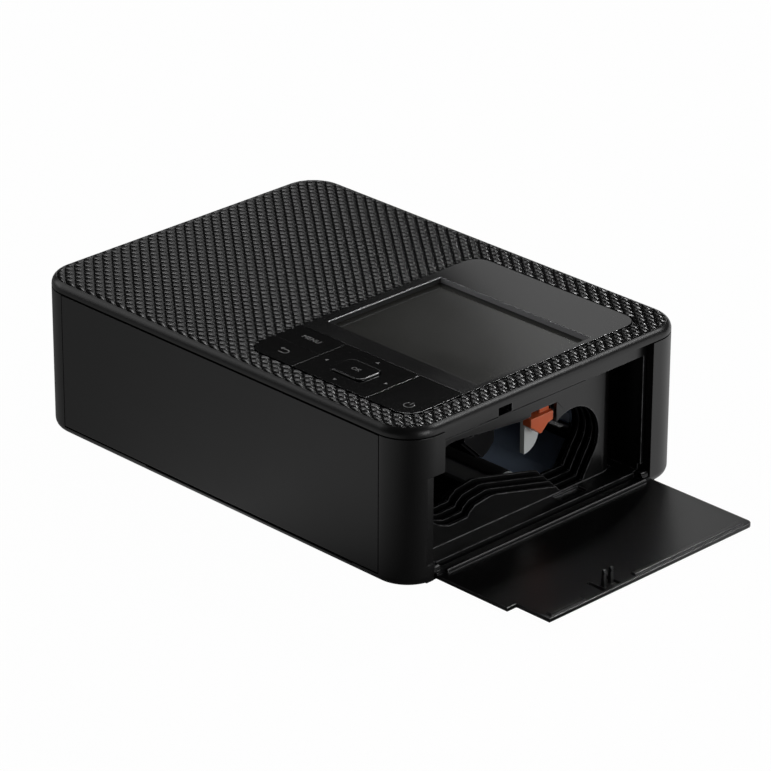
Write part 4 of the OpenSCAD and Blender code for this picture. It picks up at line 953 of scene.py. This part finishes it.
@dataclass
class WovenTop:
    """The top cover: a smooth band over the seam, and a woven relief that wraps over the rounded edge.

    Attributes:
        width, depth, top, corner, round_r: The cover's size, height, corners and rounded upper edge.
        drop: How far below the top the weave ends on the rounded edge.
        relief, notch, crest, fall, bulge, stations, steps: A tooth's height and shape, its rows and steps.
        ledge, ledge_depth: The flat rim beside the display panel.
        sink: How deep the cover lies under the weave.
        cut_gap, cut_reach, rim_reach, flat_reach: The step at the weave's end, and which points sink.
        along, across, reach: The step from tooth to tooth, both ways, and how many go each way.
        overhang, tuck: How far the flat weave goes beyond the outline and under the panel.
        shade: The angle, in degrees, above which the weave shows an edge.
        panel, panel_r, gap: The display panel's outline and the gap round it.
    """

    width: float = field(init=False)
    depth: float = field(init=False)
    top: float = field(init=False)
    corner: float = 13.35
    round_r: float = 3.6
    drop: float = 0.547
    relief: float = 0.85
    notch: float = 0.55
    crest: float = 0.07
    fall: float = 2.3
    bulge: int = 3
    stations: tuple[float, ...] = (0, 0.07, 0.22, 0.42, 0.64, 0.85, 1)
    steps: int = 6
    ledge: float = 0.7
    ledge_depth: float = 0.12
    sink: float = 1.05
    cut_gap: float = 0.05
    cut_reach: float = 0.03
    rim_reach: float = 0.2
    flat_reach: float = 0.1
    along: Pair = (2.59, -2.13)
    across: Pair = (2.59, 2.13)
    reach: int = 36
    overhang: float = 2.2
    tuck: float = 0.7
    shade: float = 24
    panel: tuple[float, float, float, float] = (4.9, -56.6, 81.6, 53.4)
    panel_r: float = 6.5
    gap: float = 0.12

    def __post_init__(self) -> None:
        """Takes the cover's size and height from the frame."""
        low, high = Workshop.span("top_cover")
        self.width, self.depth = (high - low).xy
        self.top = high.z

    @property
    def arc_end(self) -> float:
        """The length of the rounded edge that the weave covers."""
        return self.round_r * math.acos(1 - self.drop / self.round_r)

    def outside(self, p: np.ndarray) -> tuple[np.ndarray, np.ndarray]:
        """Measures flat points from the case's outline.

        Args:
            p: The points in mm, one a row.

        Returns:
            The distance outside the outline, negative inside, and the direction outwards.
        """
        return self.rounded(p, np.array((0.0, 0.0)), np.array((self.width, self.depth)) / 2, self.corner)

    def from_panel(self, p: np.ndarray) -> tuple[np.ndarray, np.ndarray]:
        """Measures flat points from the display panel's outline and the gap round it.

        Args:
            p: The points in mm, one a row.

        Returns:
            The distance outside it, negative inside, and the direction outwards.
        """
        x0, y0, x1, y1 = self.panel
        middle = np.array((x0 + x1, y0 + y1)) / 2
        half = np.array((x1 - x0, y1 - y0)) / 2 + self.gap
        return self.rounded(p, middle, half, self.panel_r + self.gap)

    @staticmethod
    def rounded(p: np.ndarray, middle: np.ndarray, half: np.ndarray,
                r: float) -> tuple[np.ndarray, np.ndarray]:
        """Measures flat points from a rectangle with round corners.

        Args:
            p: The points.
            middle: The rectangle's middle.
            half: Half its size.
            r: The corners' radius.

        Returns:
            The distance outside it, and the direction outwards.
        """
        q = p - middle
        side = np.where(q < 0, -1.0, 1.0)
        d = np.abs(q) - (half - r)
        corner = np.maximum(d, 0)
        length = np.linalg.norm(corner, axis=1)
        in_corner = (d > 0).all(axis=1)
        way = np.zeros_like(p)
        more_x = d[:, 0] > d[:, 1]
        way[more_x, 0] = 1
        way[~more_x, 1] = 1
        safe = np.maximum(length, 1e-9)[:, None]
        way = np.where(in_corner[:, None], corner / safe, way) * side
        dist = np.where(in_corner, length, d.max(axis=1)) - r
        return dist, way

    def tooth(self, u: np.ndarray, v: np.ndarray) -> np.ndarray:
        """Gives the relief's height at places in one cell.

        Args:
            u: The place along the ridge, 0 to 1 from one tooth to the next.
            v: The place from one crest to the next, 0 to 1.

        Returns:
            The height from 0 to 1.
        """
        fall = np.clip((v - self.crest) / (1 - self.crest), 0, 1) ** self.fall
        over = np.minimum(v / self.crest, 1) - fall
        along = 1 - np.abs(2 * u - 1) ** self.bulge
        return over * (self.notch + (1 - self.notch) * along)

    def cell(self) -> bpy.types.Object:
        """Models one tooth of the weave on a small grid.

        Returns:
            The tooth, flat and in mm, its height from 0 to 1.
        """
        deselect()
        rows = len(self.stations) - 1
        bpy.ops.mesh.primitive_grid_add(x_subdivisions=self.steps, y_subdivisions=rows, size=1)
        obj = bpy.context.object
        obj.name = "woven_relief"
        co = np.array([v.co[:2] for v in obj.data.vertices])
        u = co[:, 0] + 0.5
        v = np.interp(co[:, 1] + 0.5, np.linspace(0, 1, len(self.stations)), self.stations)
        flat = np.outer(u, self.along) + np.outer(v - 1, self.across)
        obj.data.vertices.foreach_set("co", np.column_stack((flat, self.tooth(u, v))).ravel())
        obj.data.update()
        return obj

    def spread(self) -> bpy.types.Object:
        """Repeats the tooth over the top and drops what lies beyond it or under the panel.

        Returns:
            The flat relief.
        """
        obj = self.cell()
        for way in (self.along, self.across):
            use(obj, "ARRAY", count=2 * self.reach + 1, use_relative_offset=False, use_constant_offset=True,
                constant_offset_displace=(*way, 0), use_merge_vertices=True, merge_threshold=0.01)
            obj.data.transform(Matrix.Translation(Vector((*way, 0)) * -self.reach))
        middle = np.array([f.center[:2] for f in obj.data.polygons])
        far = (self.outside(middle)[0] > self.overhang) | (self.from_panel(middle)[0] < -self.tuck)
        for part in (obj.data.vertices, obj.data.edges):
            part.foreach_set("select", np.zeros(len(part), bool))
        obj.data.polygons.foreach_set("select", far)

        def trim() -> None:
            """Deletes the selected faces."""
            bpy.ops.mesh.select_mode(type="FACE")
            bpy.ops.mesh.delete(type="FACE")

        in_edit(obj, trim, everything=False)
        return obj

    def wrap(self, obj: bpy.types.Object) -> None:
        """Lays the flat relief on the top and over its rounded edge.

        Args:
            obj: The relief, flat and in mm.
        """
        co = np.zeros(len(obj.data.vertices) * 3)
        obj.data.vertices.foreach_get("co", co)
        co = co.reshape(-1, 3)
        p, high = co[:, :2].copy(), co[:, 2]
        faded = np.clip((self.outside(p)[0] + self.round_r) / self.arc_end, 0, 1)
        inside, way = self.from_panel(p)
        beside = np.clip(1 - inside / self.ledge, 0, 1)
        lift = (high - 1) * self.relief * (1 - faded ** 2)
        lift += (-self.ledge_depth - lift) * beside
        under = inside < 0
        p[under] -= way[under] * inside[under][:, None]
        lift[under] = -self.sink
        dist, way = self.outside(p)
        past_top = dist + self.round_r
        lift[past_top > self.arc_end] = -self.sink
        turn = np.clip(past_top, 0, self.arc_end) / self.round_r
        flat = p - way * np.maximum(past_top, 0)[:, None]
        flat += way * ((self.round_r + lift) * np.sin(turn))[:, None]
        z = self.top - self.round_r + (self.round_r + lift) * np.cos(turn)
        obj.data.vertices.foreach_set("co", (np.column_stack((flat, z)) * MM).ravel())
        obj.data.update()

    def shell(self, shop: Workshop) -> bpy.types.Object:
        """Copies the cover and sinks its top under the relief.

        Args:
            shop: The workshop.

        Returns:
            The copy.
        """
        obj = shop.copy("top_cover", "cover_shell")
        end = self.top - self.drop
        for z in (end, end + self.cut_gap):
            in_edit(obj, lambda: bpy.ops.mesh.bisect(plane_co=(0, 0, z * MM), plane_no=(0, 0, 1)))
        co = np.array([v.co for v in obj.data.vertices]) / MM
        dist, way = self.outside(co[:, :2])
        high = co[:, 2] > end + self.cut_reach
        rim = high & (dist > -self.round_r - self.rim_reach)
        climb = (co[high, 2] - end) / (self.drop - self.flat_reach)
        co[high, 2] -= self.sink * np.clip(climb, 0, 1)
        co[rim, :2] -= way[rim] * self.sink
        obj.data.vertices.foreach_set("co", (co * MM).ravel())
        obj.data.update()
        return smooth(obj)

    def build(self, shop: Workshop) -> None:
        """Builds the cover and its relief.

        Args:
            shop: The workshop.
        """
        relief = self.spread()
        self.wrap(relief)

        def close() -> None:
            """Merges what the wrap brought together."""
            bpy.ops.mesh.remove_doubles(threshold=1e-5)
            bpy.ops.mesh.dissolve_degenerate(threshold=1e-6)

        in_edit(relief, close)
        take(relief)
        bpy.ops.object.shade_smooth_by_angle(angle=math.radians(self.shade))
        shop.hand_over(relief, "case", WEAVE)
        shop.hand_over(self.shell(shop), "case", COVER, "top_cover")


@dataclass
class Shells:
    """The outer shells, the doors and the moulded bay, with the edges of real mouldings."""

    edges: dict[str, tuple[Finish, float]] = field(default_factory=lambda: {
        "housing": (SHELL, 0.2),
        "front_cover": (SHELL, 0.08),
        "ribbon_door": (DOOR, 0.25),
        "bay_frame": (INNER, 0.25),
        "cassette_guide": (GUIDE, 0.14),
        "display_window": (GLOSS, 0.08),
        "menu_key": (KEYS, 0.08),
        "back_key": (KEYS, 0.08),
        "power_key": (KEYS, 0.08),
        "nav_key": (KEYS, 0.08),
        "ok_key": (KEYS, 0.3),
        "release_lever": (ORANGE, 0.3),
        "head_carrier": (HEAD, 0.3),
    })
    grooves: dict[str, Sequence[Box]] = field(default_factory=lambda: {
        "bay_frame": (((87.45, -54, 48.05), (88.2, 20, 48.3)),),
    })

    def build(self, shop: Workshop) -> None:
        """Puts a copy with rounded edges in each node's place.

        Args:
            shop: The workshop.
        """
        for node, (finish, edge) in self.edges.items():
            shop.refined(node, finish, edge, grooves=self.grooves.get(node, ()))


@dataclass
class ScreenRecess:
    """The lining of the recess over the screen, with its polished upper edges.

    The screen laps under the recess's edge. Each kind of piece has its width and the bevel of its edges, and
    the side strip rises a little over the others.
    """

    lap: float = 1.0
    rim_drop: float = 0.097
    wall: float = 0.35
    wall_edge: float = 0.1
    strip: float = 0.32
    strip_edge: float = 0.14
    strip_steps: int = 3
    side_inset: float = 0.01
    side_span: Pair = (-29, 45.5)
    side_width: float = 0.15
    side_rise: float = 0.09
    side_edge: float = 0.04

    def build(self, shop: Workshop) -> None:
        """Builds the linings of the left and back walls, the back one painted light, and the polished strips.

        Args:
            shop: The workshop.
        """
        low, high = shop.span("lcd_screen")
        panel = shop.span("display_window")[1]
        x0, y0, x1, y1 = low.x + self.lap, low.y + self.lap, high.x - self.lap, high.y - self.lap
        w, s, top = self.wall, self.strip, panel.z - self.rim_drop
        z0, z1 = high.z, top - s
        left = slab("screen_lining", (x0, y0, z0), (x0 + w, y1, z1), self.wall_edge)
        shop.hand_over(left, "case", SURROUND)
        # Painted light: the back wall's lining is far lighter than the left one
        back = slab("screen_lining_back", (x0 + w, y1 - w, z0), (x1, y1, z1), self.wall_edge)
        shop.hand_over(back, "case", PAINTED_LIGHT_LINING)
        front, end = self.side_span
        side = panel.x - self.side_inset
        inner, over = side - self.side_width, top + self.side_rise
        strips = [
            slab("screen_edge", (x0, y0, z1), (x0 + s, y1, top), self.strip_edge, self.strip_steps),
            slab("screen_edge", (x0, y1 - s, z1), (x1, y1, top), self.strip_edge, self.strip_steps),
            slab("screen_edge", (inner, front, z1), (side, end, over), self.side_edge),
        ]
        shop.hand_over(join(strips, "screen_edge"), "case", RIM)


@dataclass
class KeyPrint:
    """The words and symbols on the keys, all generic.

    A word or sign has the place of its middle, and a direction mark its place and turn in degrees.
    """

    face: float = field(init=False)
    ink: float = 0.02
    line: float = 0.34
    menu: Pair = (15.9, -37.1)
    menu_height: float = 2.1
    ok: Pair = (44.4, -44.1)
    ok_height: float = 1.9
    back: Pair = (16.1, -50.0)
    hook_r: float = 1.3
    hook_x: float = 0.7
    hook_steps: int = 12
    hook_ends: Pair = (-1.9, -1.3)
    arrow: tuple[Pair, ...] = ((-2.6, 1.3), (-1.5, 0.4), (-1.5, 2.2))
    power: Pair = (74.9, -50.0)
    ring_r: float = 1.75
    ring_span: Pair = (125, 415)
    ring_steps: int = 28
    bar: tuple[Pair, Pair] = ((0, 0.5), (0, 2.3))
    marks: tuple[Point, ...] = ((44.7, -34.4, 90), (31.1, -44.7, 180), (58.1, -43.8, 0), (43.9, -53.5, 270))
    tip: tuple[Pair, ...] = ((0.7, 0), (-0.5, 0.75), (-0.5, -0.75))

    def __post_init__(self) -> None:
        """Takes the height of the flat keys from the frame."""
        self.face = Workshop.span("menu_key")[1].z

    def sign(self, name: str, outlines: Sequence[Sequence[Pair]], spot: Pair = (0, 0)) -> bpy.types.Object:
        """Makes a flat printed sign.

        Args:
            name: The name.
            outlines: The outlines, in mm.
            spot: Where their origin lies on the keys.

        Returns:
            The sign.
        """
        return join([drawn(name, o, self.ink, (*spot, self.face)) for o in outlines], name)

    def back_outlines(self) -> list[Sequence[Pair]]:
        """Draws the arrow that turns back.

        Returns:
            Its outlines.
        """
        start, end = self.hook_ends
        bend = arc(self.hook_r, 90, -90, self.hook_steps, (self.hook_x, 0))
        return [stroke([(start, self.hook_r), *bend, (end, -self.hook_r)], self.line), self.arrow]

    def power_outlines(self) -> list[Sequence[Pair]]:
        """Draws the open ring and its bar.

        Returns:
            Their outlines.
        """
        ring = arc(self.ring_r, *self.ring_span, self.ring_steps)
        return [stroke(ring, self.line), stroke(self.bar, self.line)]

    def tips(self) -> list[Sequence[Pair]]:
        """Draws the four direction marks.

        Returns:
            Their outlines.
        """
        made = []
        for x, y, angle in self.marks:
            c, s = math.cos(math.radians(angle)), math.sin(math.radians(angle))
            made.append([(x + c * a - s * b, y + s * a + c * b) for a, b in self.tip])
        return made

    def build(self, shop: Workshop) -> None:
        """Prints every key.

        Args:
            shop: The workshop.
        """
        half = self.ink / 2
        menu = lettering("menu_word", "MENU", self.menu_height, (*self.menu, self.face + half), self.ink)
        shop.hand_over(menu, "menu", PRINT)
        shop.hand_over(self.sign("back_sign", self.back_outlines(), self.back), "back", PRINT)
        shop.hand_over(self.sign("power_sign", self.power_outlines(), self.power), "power", PRINT)
        shop.hand_over(self.sign("direction_signs", self.tips()), "nav", PRINT)
        raised = shop.span("ok_key")[1].z
        ok = lettering("ok_word", "OK", self.ok_height, (*self.ok, raised + half), self.ink)
        shop.hand_over(ok, "ok", PRINT)


def build_groups() -> None:
    """Builds the shader groups that the finishes share."""
    grain_group()
    wear_and_highlight_group()
    drawn_group()


def main() -> None:
    """Builds the dressed printer."""
    logging.basicConfig(level=logging.INFO, format="%(message)s")
    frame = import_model()
    cad_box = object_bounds()
    build_groups()
    shop = Workshop(frame)
    Studio().build(cad_box[0].z)
    shop.dress_nodes()
    WovenTop().build(shop)
    Shells().build(shop)
    ScreenRecess().build(shop)
    KeyPrint().build(shop)
    log.info("%d pieces", len(shop.made))


if __name__ == "__main__":
    main()
